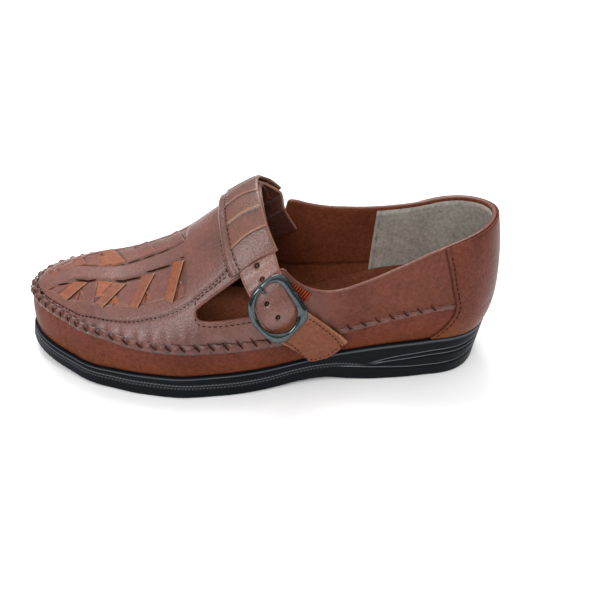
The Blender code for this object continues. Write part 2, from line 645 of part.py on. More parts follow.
def build_buckle(material):
    angle = np.linspace(-180, 180, 53)
    outer = curve(angle, column(FRAME_ROWS, 0), column(FRAME_ROWS, 1))
    inner = curve(angle, column(FRAME_ROWS, 0), column(FRAME_ROWS, 2))
    turn = np.radians(angle)
    round_it = np.radians(np.linspace(0, 360, 9))
    centre = (outer + inner) / 2
    half = (outer - inner) / 2
    r = centre + half * np.cos(round_it)[:, None]
    h = FRAME_LOW + FRAME_TALL / 2 + FRAME_TALL / 2 * np.sin(round_it)[:, None] + 0 * r
    sheet = Sheet()
    sheet.add(from_buckle(r * np.cos(turn), r * np.sin(turn), h))
    frame = sheet.build("buckle_frame", material)
    knee = 1.2
    top = FRAME_LOW + FRAME_TALL / 2
    legs = [
        (BAR_LEFT, top), (BAR_LEFT, BAR_H + knee), (BAR_LEFT + 0.3 * knee, BAR_H + 0.3 * knee),
        (BAR_LEFT + knee, BAR_H), (BAR_RIGHT - knee, BAR_H), (BAR_RIGHT - 0.3 * knee, BAR_H + 0.3 * knee),
        (BAR_RIGHT, BAR_H + knee), (BAR_RIGHT, top),
    ]
    a = np.array([p[0] for p in legs])
    h = np.array([p[1] for p in legs])
    bar = tube("bar_joined_to_frame", from_buckle(a, 0 * a, h), BAR_R, material)
    bar.hide_render = True
    bar.display_type = "WIRE"
    join = frame.modifiers.new("bar", "BOOLEAN")
    join.operation = "UNION"
    join.solver = "EXACT"
    join.object = bar
    return frame


def build_prong(material):
    hook = np.radians(np.linspace(20, 160, 9))
    b = np.concatenate([HOOK_R * np.cos(hook), column(PRONG_ROWS[1:], 0)])
    h = np.concatenate([BAR_H - HOOK_R * np.sin(hook), column(PRONG_ROWS[1:], 1)])
    return tube("buckle_prong", from_buckle(np.full(len(b), PRONG_A), b, h), PRONG_R, material, 8)


def punch(part, name, centre, normal, radius):
    """Round hole straight through a part."""
    reach = 6.0
    ends = [centre - reach * normal, centre + reach * normal]
    cutter = tube(name, ends, radius, part.data.materials[0], 12)
    cutter.hide_render = True
    cutter.display_type = "WIRE"
    cut = part.modifiers.new(name, "BOOLEAN")
    cut.operation = "DIFFERENCE"
    cut.solver = "EXACT"
    cut.object = cutter


def punch_strap(strap):
    for n, (girth, x) in enumerate(STRAP_HOLES):
        point, normal = on_last(np.array(x), np.array(girth))
        punch(strap, f"strap_hole_{n + 1}", point + 4 * normal, normal, HOLE_R)
    low = from_buckle(np.array(PRONG_A), np.array(PRONG_HOLE_B), np.array(3.5))
    punch(strap, "prong_hole", low, buckle_axes()[3], PRONG_HOLE_R)


def rest_on_origin():
    """Moves the shoe so that its box stands on the origin."""
    bpy.context.view_layer.update()
    graph = bpy.context.evaluated_depsgraph_get()
    low = np.full(3, np.inf)
    high = np.full(3, -np.inf)
    for part in bpy.data.objects:
        if part.hide_render:
            continue
        whole = part.evaluated_get(graph)
        shape = whole.to_mesh()
        corners = np.empty(3 * len(shape.vertices))
        shape.vertices.foreach_get("co", corners)
        corners = corners.reshape(-1, 3)
        whole.to_mesh_clear()
        low = np.minimum(low, corners.min(0))
        high = np.maximum(high, corners.max(0))
    shift = -np.array([(low[0] + high[0]) / 2, (low[1] + high[1]) / 2, low[2]])
    for part in bpy.data.objects:
        part.location = tuple(shift)


clear_scene()
leather = finish("vegetable_tanned_leather", (0.16, 0.06, 0.04), 0.45)
lining = finish("leather_footbed", (0.12, 0.055, 0.035), 0.6)
unit = finish("moulded_rubber_unit", (0.012, 0.013, 0.016), 0.45)
metal = finish("plated_die_cast_zinc", (0.2, 0.2, 0.21), 0.2, 1.0)
elastic = finish("ribbed_elastic", (0.25, 0.07, 0.035), 0.75)
build_sole(unit)
build_insole(lining)
build_upper(leather)
build_counter(leather)
build_strap(leather)
punch_strap(bpy.data.objects["strap"])
build_saddle(leather)
build_gore(elastic)
build_buckle(metal)
build_prong(metal)
rest_on_origin()
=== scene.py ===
# %% [markdown]
# # Woven loafer with a buckled T-strap
# The solids of the shoe are loaded as a fixed frame. Every visible piece is then made again as a fine
# surface in the same place: leather skin, woven strips, seams, threads, strap, buckle, lining and sole.
# All sizes are millimetres on the shoe: X from toe to heel, Y from the outer to the inner side, Z up.

import json

import bmesh
import bpy
import numpy as np
from mathutils import Matrix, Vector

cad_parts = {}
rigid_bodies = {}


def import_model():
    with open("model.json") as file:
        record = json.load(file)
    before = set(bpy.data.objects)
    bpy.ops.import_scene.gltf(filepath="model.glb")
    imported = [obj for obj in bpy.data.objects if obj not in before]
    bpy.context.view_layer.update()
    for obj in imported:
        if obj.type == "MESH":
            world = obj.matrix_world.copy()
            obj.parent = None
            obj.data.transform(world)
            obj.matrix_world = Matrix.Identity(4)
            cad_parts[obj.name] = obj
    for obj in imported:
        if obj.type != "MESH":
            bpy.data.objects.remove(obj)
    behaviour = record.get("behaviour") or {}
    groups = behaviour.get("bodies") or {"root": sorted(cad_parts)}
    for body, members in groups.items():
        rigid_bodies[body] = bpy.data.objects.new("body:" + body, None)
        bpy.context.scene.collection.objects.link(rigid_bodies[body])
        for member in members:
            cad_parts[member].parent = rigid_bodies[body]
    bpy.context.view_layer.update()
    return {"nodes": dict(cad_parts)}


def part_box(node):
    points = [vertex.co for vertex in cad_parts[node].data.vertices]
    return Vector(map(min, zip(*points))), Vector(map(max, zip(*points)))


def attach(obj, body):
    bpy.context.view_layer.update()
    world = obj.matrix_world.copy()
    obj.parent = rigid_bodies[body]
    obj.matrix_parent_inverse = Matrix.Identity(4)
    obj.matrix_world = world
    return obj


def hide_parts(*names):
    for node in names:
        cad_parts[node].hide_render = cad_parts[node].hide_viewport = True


for old in list(bpy.data.objects):
    bpy.data.objects.remove(old, do_unlink=True)
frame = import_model()
MM = 0.001
print("solids", sorted(frame["nodes"]))

# %% [markdown]
# ## The last
# A shoe is built over a last, so one function of two parameters gives the outside of the whole upper:
# s runs round the shoe and v runs up the wall, 0 at the sole, 1 at the moccasin seam and 2 along the ridge.
# Short tables hold the sizes. A smooth curve through each table keeps the surface free of kinks.

# %% Sizes of the last
# The sides run between two pivots on the middle line, and the spokes turn about the pivots at both ends.
TOE_X = -88.0
HEEL_X = 97.0
SIDE_LENGTH = HEEL_X - TOE_X
HEEL_ARC = 107.0
TOE_ARC = 135.0
ROUND_LENGTH = 2 * SIDE_LENGTH + HEEL_ARC + TOE_ARC
HEEL_CENTRE = SIDE_LENGTH + HEEL_ARC / 2
TOE_TIP = 2 * SIDE_LENGTH + HEEL_ARC + TOE_ARC / 2
# Middle line: x, y.
AXIS_ROWS = [
    (-108, 6.0), (-88, 6.0), (-60, 8.0), (-40, 7.6), (-20, 6.4), (0, 6.0), (40, 3.8), (70, 1.4),
    (97, 0.0), (117, 0.0),
]
# Stretch, place on it, sole edge from the middle line, height and overhang of the moccasin seam.
PERIMETER_ROWS = [
    ("outer", -88, 43.6, 34.4, -1.0), ("outer", -68, 51.8, 31.4, -0.6), ("outer", -47, 56.1, 30.8, -0.4),
    ("outer", -25, 54.0, 30.5, -0.2), ("outer", -2, 50.2, 30.9, 0.0), ("outer", 18, 44.6, 31.2, 0.0),
    ("outer", 36, 40.4, 32.0, 0.0), ("outer", 58, 38.8, 39.4, 0.2), ("outer", 80, 36.3, 45.2, 0.4),
    ("outer", 97, 33.6, 48.0, 0.8),
    ("heel", -60, 33.0, 48.8, 1.4), ("heel", -30, 32.4, 49.5, 2.0), ("heel", 0, 32.6, 50.0, 2.4),
    ("heel", 30, 32.2, 49.5, 2.0), ("heel", 60, 32.0, 48.8, 1.4),
    ("inner", 97, 31.6, 48.0, 0.8), ("inner", 80, 30.4, 45.2, 1.5), ("inner", 58, 27.0, 40.0, 3.0),
    ("inner", 36, 22.9, 34.5, 5.0), ("inner", 18, 22.4, 32.0, 5.5), ("inner", -2, 26.0, 31.5, 5.0),
    ("inner", -25, 32.8, 32.0, 3.0), ("inner", -47, 35.7, 34.5, 0.8), ("inner", -68, 35.9, 38.0, 0.0),
    ("inner", -88, 34.4, 41.4, -0.6),
    ("toe", 105, 33.9, 42.2, -0.9), ("toe", 120, 35.0, 42.2, -1.3), ("toe", 135, 38.3, 41.6, -1.8),
    ("toe", 150, 42.5, 40.8, -2.2), ("toe", 165, 46.0, 39.8, -2.4), ("toe", 180, 46.9, 38.8, -2.5),
    ("toe", 195, 44.0, 38.2, -2.4), ("toe", 210, 40.9, 37.6, -2.2), ("toe", 225, 38.7, 36.9, -1.9),
    ("toe", 240, 38.3, 36.1, -1.6), ("toe", 255, 40.5, 35.2, -1.3),
]
# Sole: x, height of its underside and of its top edge, and how far the top leans in.
SOLE_ROWS = [
    (-136, 6.6, 16.0, 1.5), (-120, 3.8, 13.4, 2.0), (-105, 1.6, 11.9, 2.0), (-88, 0.3, 11.7, 2.0),
    (-70, 0.0, 12.3, 2.0), (-46, 0.0, 12.6, 2.0), (-17, 0.0, 13.2, 1.9), (5, 1.0, 14.2, 1.7),
    (20, 2.2, 15.6, 1.4), (34, 2.0, 17.8, 1.0), (44, 0.6, 19.9, 0.8), (58, 0.0, 23.0, 0.5),
    (72, 0.0, 25.0, 0.2), (86, 0.0, 26.2, -0.2), (100, 0.0, 27.2, -0.7), (115, 0.0, 28.0, -1.4),
    (134, 0.0, 28.4, -2.4),
]
# Ridge: x, height, and the lean of the crown at the seam in degrees, outer and inner side.
RIDGE_ROWS = [
    (-88, 53.0, 40, 38), (-75, 56.0, 34, 32), (-60, 61.5, 27, 25), (-50, 66.3, 24, 20), (-40, 73.0, 20, 15),
    (-30, 81.2, 16, 11), (-22, 87.6, 13, 8), (-12, 94.6, 12, 5), (0, 101.6, 11, 4), (20, 110.0, 8, 3),
    (40, 116.5, 7, 3), (60, 121.0, 6, 4), (97, 124.0, 5, 5),
]
# Edge of the opening: stretch, place on it, height.
TOPLINE_ROWS = [
    ("outer", -37, 48.0), ("outer", -36.6, 46.4), ("outer", -35.2, 44.9), ("outer", -32, 44.2),
    ("outer", -27, 44.2), ("outer", -20, 45.0), ("outer", -12, 45.9), ("outer", -5, 46.6),
    ("outer", -0.5, 47.2), ("outer", 1.5, 49.5), ("outer", 2.6, 55), ("outer", 3.6, 61),
    ("outer", 4.8, 66.5), ("outer", 6.4, 69.6), ("outer", 8.4, 70.2), ("outer", 11, 67.6),
    ("outer", 15, 63.8), ("outer", 20, 60.6), ("outer", 26, 58.3), ("outer", 33, 57.0),
    ("outer", 41, 58.4), ("outer", 48, 61.5), ("outer", 55, 64.8), ("outer", 62, 68.4),
    ("outer", 69, 71.8), ("outer", 76, 75.3), ("outer", 83, 78.8), ("outer", 90, 81.6), ("outer", 97, 84.6),
    ("heel", -75, 87.2), ("heel", -60, 89.3), ("heel", -45, 90.7), ("heel", -30, 91.6),
    ("heel", -15, 92.0), ("heel", 0, 92.0), ("heel", 15, 91.3), ("heel", 30, 90.1), ("heel", 45, 88.6),
    ("heel", 60, 86.8), ("heel", 75, 84.9),
    ("inner", 97, 83.0), ("inner", 90, 81.4), ("inner", 83, 80.2), ("inner", 76, 79.4), ("inner", 69, 78.9),
    ("inner", 62, 78.7), ("inner", 55, 78.7), ("inner", 48, 79.1), ("inner", 40, 79.6),
    ("inner", 31, 80.9), ("inner", 24, 82.5), ("inner", 18.5, 84.2), ("inner", 14.8, 84.4),
    ("inner", 13.6, 80.6),
    ("inner", 13, 72), ("inner", 10.2, 64), ("inner", 7.4, 56), ("inner", 4.4, 50.2),
    ("inner", 0.5, 47.7), ("inner", -5, 46.6), ("inner", -12, 45.9), ("inner", -20, 45.0),
    ("inner", -27, 44.2), ("inner", -32, 44.2), ("inner", -35.2, 44.9), ("inner", -36.6, 46.4),
    ("inner", -37, 48.0),
]
# Edge of the tongue: x, height, and x where the line across it meets the ridge.
TONGUE_ROWS = [
    (-37, 48.0, -37), (-36.7, 49.4, -36.7), (-35.4, 51.0, -35.6), (-32, 53.6, -32.8),
    (-27, 57.2, -28.4), (-20, 62.2, -22.6), (-12, 67.6, -16.0), (-4, 73.0, -9.3), (4, 78.2, -2.6),
]
TONGUE_INNER_RISE = 7.5
# Wall of the solid upper, its gap above the sole, its step in from the sole's edge and its bow.
UPPER_WALL = 2.2
UPPER_LIFT = 0.3
WALL_STEP_IN = 1.6
WALL_BULGE = 1.0
# Handles of the Bezier curve, as shares of its height and of its reach.
WALL_HANDLE = 0.42
CROWN_HANDLE_OUTER = 0.55
CROWN_HANDLE_INNER = 0.72
# The two sides blend over this much girth at the ridge, and above CROWN_V the normal turns upright.
RIDGE_BLEND = 4.0
CROWN_V = 1.84
print("length round the last", ROUND_LENGTH, "mm, opening rows", len(TOPLINE_ROWS))


# %% [markdown]
# ## Curves through the tables
# A last maker works from a few measured sections and fairs the surface between them. The same is done here:
# one smooth curve goes through each column of a table. Straight steps would show as flats in the leather.

# %% Curves and tables
def curve(at, xs, ys):
    """Cubic Hermite curve: each span blends its end values and end slopes; it is level outside."""
    xs = np.asarray(xs, float)
    ys = np.asarray(ys, float)
    slope = np.gradient(ys, xs)
    at = np.clip(at, xs[0], xs[-1])
    i = np.clip(np.searchsorted(xs, at) - 1, 0, len(xs) - 2)
    width = xs[i + 1] - xs[i]
    t = (at - xs[i]) / width
    start = (1 + 2 * t) * (1 - t) ** 2 * ys[i] + t * (1 - t) ** 2 * width * slope[i]
    return start + t * t * (3 - 2 * t) * ys[i + 1] + t * t * (t - 1) * width * slope[i + 1]


def column(rows, n):
    """Entry n of every row."""
    return [row[n] for row in rows]


def station(stretch, at):
    """Distance round the shoe of a place: x on the two sides, degrees at heel and toe."""
    if stretch == "outer":
        return at - TOE_X
    if stretch == "heel":
        return SIDE_LENGTH + (at + 90) / 180 * HEEL_ARC
    if stretch == "inner":
        return SIDE_LENGTH + HEEL_ARC + HEEL_X - at
    return 2 * SIDE_LENGTH + HEEL_ARC + (at - 90) / 180 * TOE_ARC


def axis_y(x):
    """y of the middle line over x."""
    return curve(x, column(AXIS_ROWS, 0), column(AXIS_ROWS, 1))


def spoke(s):
    """Foot (x, y) and direction of the upright plane through station s."""
    s = np.mod(s, ROUND_LENGTH)
    heel_end = SIDE_LENGTH + HEEL_ARC
    toe_start = heel_end + SIDE_LENGTH
    places = [s < SIDE_LENGTH, s < heel_end, s < toe_start]
    x = np.select(places, [TOE_X + s, HEEL_X, HEEL_X - (s - heel_end)], TOE_X)
    heel_turn = -90 + 180 * (s - SIDE_LENGTH) / HEEL_ARC
    turn = np.radians(np.select(places, [-90, heel_turn, 90], 90 + 180 * (s - toe_start) / TOE_ARC))
    return x, axis_y(x), np.cos(turn), np.sin(turn)


KNOWN = sorted((station(row[0], row[1]),) + tuple(row[2:]) for row in PERIMETER_ROWS)


def round_value(s, n):
    """Column n of the perimeter table at station s, joined end to end round the shoe."""
    places = np.array(column(KNOWN, 0))
    values = np.array(column(KNOWN, n - 1))
    places = np.concatenate([places[-3:] - ROUND_LENGTH, places, places[:3] + ROUND_LENGTH])
    values = np.concatenate([values[-3:], values, values[:3]])
    return curve(np.mod(s, ROUND_LENGTH), places, values)


def sole_value(x, n):
    """Column n of the sole table over x."""
    return curve(x, column(SOLE_ROWS, 0), column(SOLE_ROWS, n))


def ridge_value(x, n):
    """Column n of the ridge table over x."""
    return curve(x, column(RIDGE_ROWS, 0), column(RIDGE_ROWS, n))


def sole_edge(s):
    """Radius of the sole's bottom edge and x of that edge."""
    x, _, dx, _ = spoke(s)
    radius = round_value(s, 2)
    return radius, x + radius * dx


def ridge_slope(x):
    """Rise of the ridge per mm towards the heel, held over the toe and level past the heel."""
    slope = (ridge_value(x + 1, 1) - ridge_value(x - 1, 1)) / 2
    toe_slope = ridge_value(TOE_X + 1, 1) - ridge_value(TOE_X, 1)
    return np.where(x <= TOE_X, toe_slope, np.where(x >= HEEL_X, 0, slope))


edge_at_ball = float(sole_edge(station("outer", -47))[0])
print("sole edge at the ball", edge_at_ball, "mm out from the middle line")

# %% [markdown]
# ## One surface for the whole upper
# Each station s has an upright plane. In it a bowed line gives the wall and one Bezier curve the crown. The
# same function later places skin, lining, seams and straps, so that all of them fit the same last. A
# sculpted mesh could give the same shape, but nothing could then be laid along it by numbers.

# %% Wall and outward direction
def wall(s, v):
    """Outer face: a bowed line up to the seam, then one cubic Bezier from the seam to the ridge."""
    s, v = np.broadcast_arrays(np.asarray(s, float), np.asarray(v, float))
    x, y, dx, dy = spoke(s)
    edge, edge_x = sole_edge(s)
    foot_r = edge - sole_value(edge_x, 3) - WALL_STEP_IN
    foot_z = sole_value(edge_x, 2) + UPPER_LIFT
    seam_r = foot_r + round_value(s, 4)
    seam_z = round_value(s, 3)
    low = np.clip(v, 0, 1)
    low_r = foot_r + (seam_r - foot_r) * v + WALL_BULGE * 4 * low * (1 - low)
    low_z = foot_z + (seam_z - foot_z) * v
    top_z = ridge_value(x, 1)
    inner = (dy + 1) / 2
    lean = np.radians(ridge_value(x, 2) * (1 - inner) + ridge_value(x, 3) * inner)
    handle = WALL_HANDLE * (top_z - seam_z)
    one_r = seam_r - handle * np.sin(lean)
    one_z = seam_z + handle * np.cos(lean)
    two_r = (CROWN_HANDLE_OUTER * (1 - inner) + CROWN_HANDLE_INNER * inner) * seam_r
    two_z = top_z + ridge_slope(x) * dx * two_r
    t = np.clip(v - 1, 0, 1)
    q = 1 - t
    high_r = seam_r * q**3 + 3 * one_r * q * q * t + 3 * two_r * q * t * t
    high_z = seam_z * q**3 + 3 * one_z * q * q * t + 3 * two_z * q * t * t + top_z * t**3
    r = np.where(v <= 1, low_r, high_r)
    z = np.where(v <= 1, low_z, high_z)
    return np.stack([x + r * dx, y + r * dy, z], -1)


def unit(vectors):
    """Vectors over their lengths."""
    return vectors / np.linalg.norm(vectors, axis=-1, keepdims=True)


def wall_normal(s, v):
    """Outward direction: cross product of the steps along s and up v, turned upright over the ridge."""
    s, v = np.broadcast_arrays(np.asarray(s, float), np.asarray(v, float))
    held = np.minimum(v, 1.96)
    along = wall(s + 0.4, held) - wall(s - 0.4, held)
    up = wall(s, held + 0.01) - wall(s, held - 0.01)
    n = unit(np.cross(along, up))
    x = spoke(s)[0]
    crown = unit(np.stack([-ridge_slope(x), 0 * x, 1 + 0 * x], -1))
    share = np.clip((v - CROWN_V) / 0.15, 0, 1)[..., None]
    share = share * share * (3 - 2 * share)
    return unit(n * (1 - share) + crown * share)


def v_at_height(s, z):
    """v at which the wall of each station reaches the height z."""
    s, z = np.broadcast_arrays(np.asarray(s, float), np.asarray(z, float))
    steps = np.linspace(-0.4, 2, 241)
    heights = wall(s.reshape(-1, 1), steps[None, :])[..., 2]
    found = [np.interp(zz, hh, steps) for zz, hh in zip(z.ravel(), heights)]
    return np.array(found).reshape(s.shape)


print("moccasin seam at the toe tip", wall(TOE_TIP, 1.0).round(1))

# %% [markdown]
# ## Girth from the ridge
# Straps and the saddle are cut to a length over the instep, so they are placed by girth: mm along the
# surface from the ridge down. The lengths are summed once into a table for each side and read backwards.

# %% Girth from the ridge
# Steps in x, in v and in mm of girth of the tables that turn a girth into v.
GIRTH_X = np.linspace(-60.0, 90.0, 301)
GIRTH_V = np.linspace(-0.4, 2, 161)
GIRTH_AT = np.linspace(0, 130, 261)


def girth_table(side):
    """v over x and girth on one side: lengths summed from the ridge down, then read backwards."""
    section = wall(station(side, GIRTH_X)[:, None], GIRTH_V[None, :])
    length = np.linalg.norm(np.diff(section, axis=1), axis=-1)
    left = np.cumsum(length[:, ::-1], axis=1)
    left = np.concatenate([np.zeros((len(left), 1)), left], 1)
    return np.array([np.interp(GIRTH_AT, row, GIRTH_V[::-1]) for row in left])


GIRTH_TABLES = {side: girth_table(side) for side in ("outer", "inner")}


def from_table(table, x, girth):
    """Value between the four nearest entries of a table over x and girth."""
    fx = np.clip((x - GIRTH_X[0]) / (GIRTH_X[1] - GIRTH_X[0]), 0, len(GIRTH_X) - 1.001)
    fg = np.clip(girth / (GIRTH_AT[1] - GIRTH_AT[0]), 0, len(GIRTH_AT) - 1.001)
    i, j = fx.astype(int), fg.astype(int)
    a, b = fx - i, fg - j
    low = table[i, j] * (1 - b) + table[i, j + 1] * b
    high = table[i + 1, j] * (1 - b) + table[i + 1, j + 1] * b
    return low * (1 - a) + high * a


def on_last(x, girth):
    """Point and outward direction at x, a girth in mm from the ridge: - outer side, + inner side."""
    x, girth = np.broadcast_arrays(np.asarray(x, float), np.asarray(girth, float))
    point = np.zeros(x.shape + (3,))
    normal = np.zeros(x.shape + (3,))
    for side, sign in (("outer", -1), ("inner", 1)):
        s = station(side, x)
        v = from_table(GIRTH_TABLES[side], x, np.maximum(sign * girth, 0))
        share = np.clip(0.5 + sign * girth / (2 * RIDGE_BLEND), 0, 1)[..., None]
        point = np.where((sign * girth >= 0)[..., None], wall(s, v), point)
        normal = normal + share * wall_normal(s, np.minimum(v, CROWN_V))
    return point, unit(normal)


print("girth tables", {side: table.shape for side, table in GIRTH_TABLES.items()})

# %% [markdown]
# ## Places in plan
# The weave was measured on the photograph as seen from above, so its corners are plan points. Halving the
# range of v finds the place on the crown over each of them. It needs no ray cast and no mesh.

# %% Places in plan
# Halvings of the range of v in plan_place: 13 leave less than 0.02 mm.
HALVINGS = 13


def plan_place(x, y):
    """Station and v above the plan point (x, y): the range of v is halved until the radius is met."""
    x, y = np.broadcast_arrays(np.asarray(x, float), np.asarray(y, float))
    off = y - axis_y(np.maximum(x, TOE_X))
    back = x - TOE_X
    side = np.where(off <= 0, back, SIDE_LENGTH + HEEL_ARC + HEEL_X - x)
    angle = np.degrees(np.arctan2(off, back)) % 360
    toe = 2 * SIDE_LENGTH + HEEL_ARC + (angle - 90) / 180 * TOE_ARC
    s = np.where(back >= 0, side, toe)
    radius = np.where(back >= 0, np.abs(off), np.hypot(back, off))
    foot_x, foot_y = spoke(s)[:2]
    low = np.ones_like(s)
    high = np.full_like(s, 2.0)
    for _ in range(HALVINGS):
        mid = (low + high) / 2
        place = wall(s, mid)
        wide = np.hypot(place[..., 0] - foot_x, place[..., 1] - foot_y) > radius
        low = np.where(wide, mid, low)
        high = np.where(wide, high, mid)
    return s, (low + high) / 2


def over_plan(x, y, lift=0.0):
    """Point a lift above the last at plan point (x, y), and the direction out from slopes over 3 mm."""
    s, v = plan_place(x, y)
    point = wall(s, v)
    step = 1.5
    slopes = []
    for sx, sy in ((step, 0), (0, step)):
        more = wall(*plan_place(x + sx, y + sy))[..., 2]
        less = wall(*plan_place(x - sx, y - sy))[..., 2]
        slopes.append((more - less) / (2 * step))
    normal = unit(np.stack([-slopes[0], -slopes[1], np.ones_like(slopes[0])], -1))
    return point + np.asarray(lift)[..., None] * normal, normal


print("v over the plan point (-60, 0)", plan_place(-60.0, 0.0)[1].round(2))

# %% [markdown]
# ## Shift of the last
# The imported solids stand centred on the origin, so the last is moved by the same amount. The outline of the
# sole is worked out here again and its box is laid on the box of the solid sole, which gives the shift.

# %% Shift
ALL_ROUND = np.linspace(0, ROUND_LENGTH, 2000)
foot_x, foot_y, out_x, out_y = spoke(ALL_ROUND)
edge_r = sole_edge(ALL_ROUND)[0]
outline = np.stack([foot_x + edge_r * out_x, foot_y + edge_r * out_y])
sole_low, sole_high = (np.array(corner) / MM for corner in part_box("unit_sole"))
SHIFT = np.zeros(3)
SHIFT[:2] = (sole_low[:2] + sole_high[:2]) / 2 - (outline.min(1) + outline.max(1)) / 2
print("shift in mm", SHIFT.round(3))


# %% [markdown]
# ## Mesh builder
# A patchwork gathers numpy grids into one mesh, so a piece is made of whole arrays and never point by
# point. Marks are numbers on the points, such as wear or dye, that the materials read later.

# %% Mesh builder
class Patchwork:
    """Grids of points gathered into one mesh, with one number a point for each named mark."""

    def __init__(self, *marks):
        self.points = []
        self.faces = []
        self.marks = {name: [] for name in marks}
        self.count = 0

    def add(self, grid, close=False, **marks):
        """Adds grids (rows, columns, 3) or (n, rows, columns, 3); close joins last column and first."""
        grids = grid if grid.ndim == 4 else grid[None]
        n, rows, columns = grids.shape[:3]
        index = self.count + np.arange(n * rows * columns).reshape(n, rows, columns)
        if close:
            index = np.concatenate([index, index[:, :, :1]], 2)
        quads = [index[:, :-1, :-1], index[:, :-1, 1:], index[:, 1:, 1:], index[:, 1:, :-1]]
        self.faces.append(np.stack(quads, -1).reshape(-1, 4))
        self.points.append(grids.reshape(-1, 3))
        for name, held in self.marks.items():
            value = np.broadcast_to(marks.get(name, 0.0), grids.shape[:3])
            held.append(value.reshape(-1))
        self.count += n * rows * columns

    def make(self, name, material, nodes=(), weld=0.01, wall_mm=0.0):
        """Builds the piece: welds shared edges, turns faces outwards and thickens it by wall_mm."""
        mesh = bpy.data.meshes.new(name)
        points = (np.concatenate(self.points) + SHIFT) * MM
        mesh.from_pydata(points.tolist(), [], np.concatenate(self.faces).tolist())
        for mark, held in self.marks.items():
            layer = mesh.attributes.new(mark, "FLOAT", "POINT")
            layer.data.foreach_set("value", np.concatenate(held).astype(np.float32))
        work = bmesh.new()
        work.from_mesh(mesh)
        if weld:
            bmesh.ops.remove_doubles(work, verts=work.verts, dist=weld * MM)
            bmesh.ops.dissolve_degenerate(work, edges=work.edges, dist=0.2 * weld * MM)
            bmesh.ops.recalc_face_normals(work, faces=work.faces)
        work.to_mesh(mesh)
        work.free()
        mesh.shade_smooth()
        mesh.materials.append(material)
        piece = bpy.data.objects.new(name, mesh)
        bpy.context.scene.collection.objects.link(piece)
        if wall_mm:
            made = piece.modifiers.new("wall", "SOLIDIFY")
            made.thickness = wall_mm * MM
            made.offset = -1
            made.use_even_offset = False
        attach(piece, "root")
        if nodes:
            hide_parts(*nodes)
        print(name, len(mesh.vertices), "points", len(mesh.polygons), "faces")


# %% [markdown]
# ## Helpers for materials
# One function turns a hex colour to linear, one adds a node with its settings and links, and the others are
# the few steps that every material here repeats: a mark, a mix, a straight ramp and drawn-out noise.

# %% Material helpers
def linear(code):
    """sRGB hex to linear: each channel over 255, then the power curve of sRGB."""
    channels = np.array([int(code[k : k + 2], 16) for k in (1, 3, 5)]) / 255
    flat = np.where(channels <= 0.04045, channels / 12.92, ((channels + 0.055) / 1.055) ** 2.4)
    return (*flat.tolist(), 1.0)


def add(tree, kind, settings=None, **links):
    """Adds a node and sets or links its inputs: _ stands for a blank and i6 for input number 6."""
    node = tree.nodes.new(kind)
    for field, value in (settings or {}).items():
        setattr(node, field, value)
    for name, value in links.items():
        if name[0] == "i" and name[1:].isdigit():
            socket = node.inputs[int(name[1:])]
        else:
            socket = node.inputs[name.replace("_", " ")]
        if isinstance(value, bpy.types.NodeSocket):
            tree.links.new(value, socket)
        else:
            socket.default_value = value
    return node


def new_material(name, **constants):
    """Material, its tree and its shader, with constants set on the shader by socket name."""
    made = bpy.data.materials.new(name)
    made.use_nodes = True
    shader = made.node_tree.nodes["Principled BSDF"]
    for socket, value in constants.items():
        shader.inputs[socket.replace("_", " ")].default_value = value
    return made, made.node_tree, shader


def object_place(tree, scale=1.0):
    """Object coordinates in mm times a scale per mm."""
    place = add(tree, "ShaderNodeTexCoord").outputs["Object"]
    size = scale / MM
    return add(tree, "ShaderNodeMapping", Vector=place, Scale=(size, size, size)).outputs["Vector"]


def mark(tree, name):
    """Value of a mark held by the points."""
    return add(tree, "ShaderNodeAttribute", {"attribute_name": name}).outputs["Fac"]


def mix(tree, factor, a, b, blend="MIX"):
    """Colour a + factor * (b - a), or the blend that is named."""
    node = add(tree, "ShaderNodeMix", {"data_type": "RGBA", "blend_type": blend}, i0=factor, i6=a, i7=b)
    return node.outputs[2]


def ramp(tree, value, low, high, to_low=0.0, to_high=1.0):
    """Straight line from to_low at low to to_high at high, level outside."""
    node = add(tree, "ShaderNodeMapRange", None, i0=value, i1=low, i2=high, i3=to_low, i4=to_high)
    return node.outputs[0]


def spread(tree, noise, to_low, to_high):
    """Noise gathers between 0.3 and 0.7; that range is drawn out from to_low to to_high."""
    return ramp(tree, noise.outputs[0], 0.3, 0.7, to_low, to_high)


print("dye of the calf in linear colour", [round(value, 3) for value in linear("#69392e")])
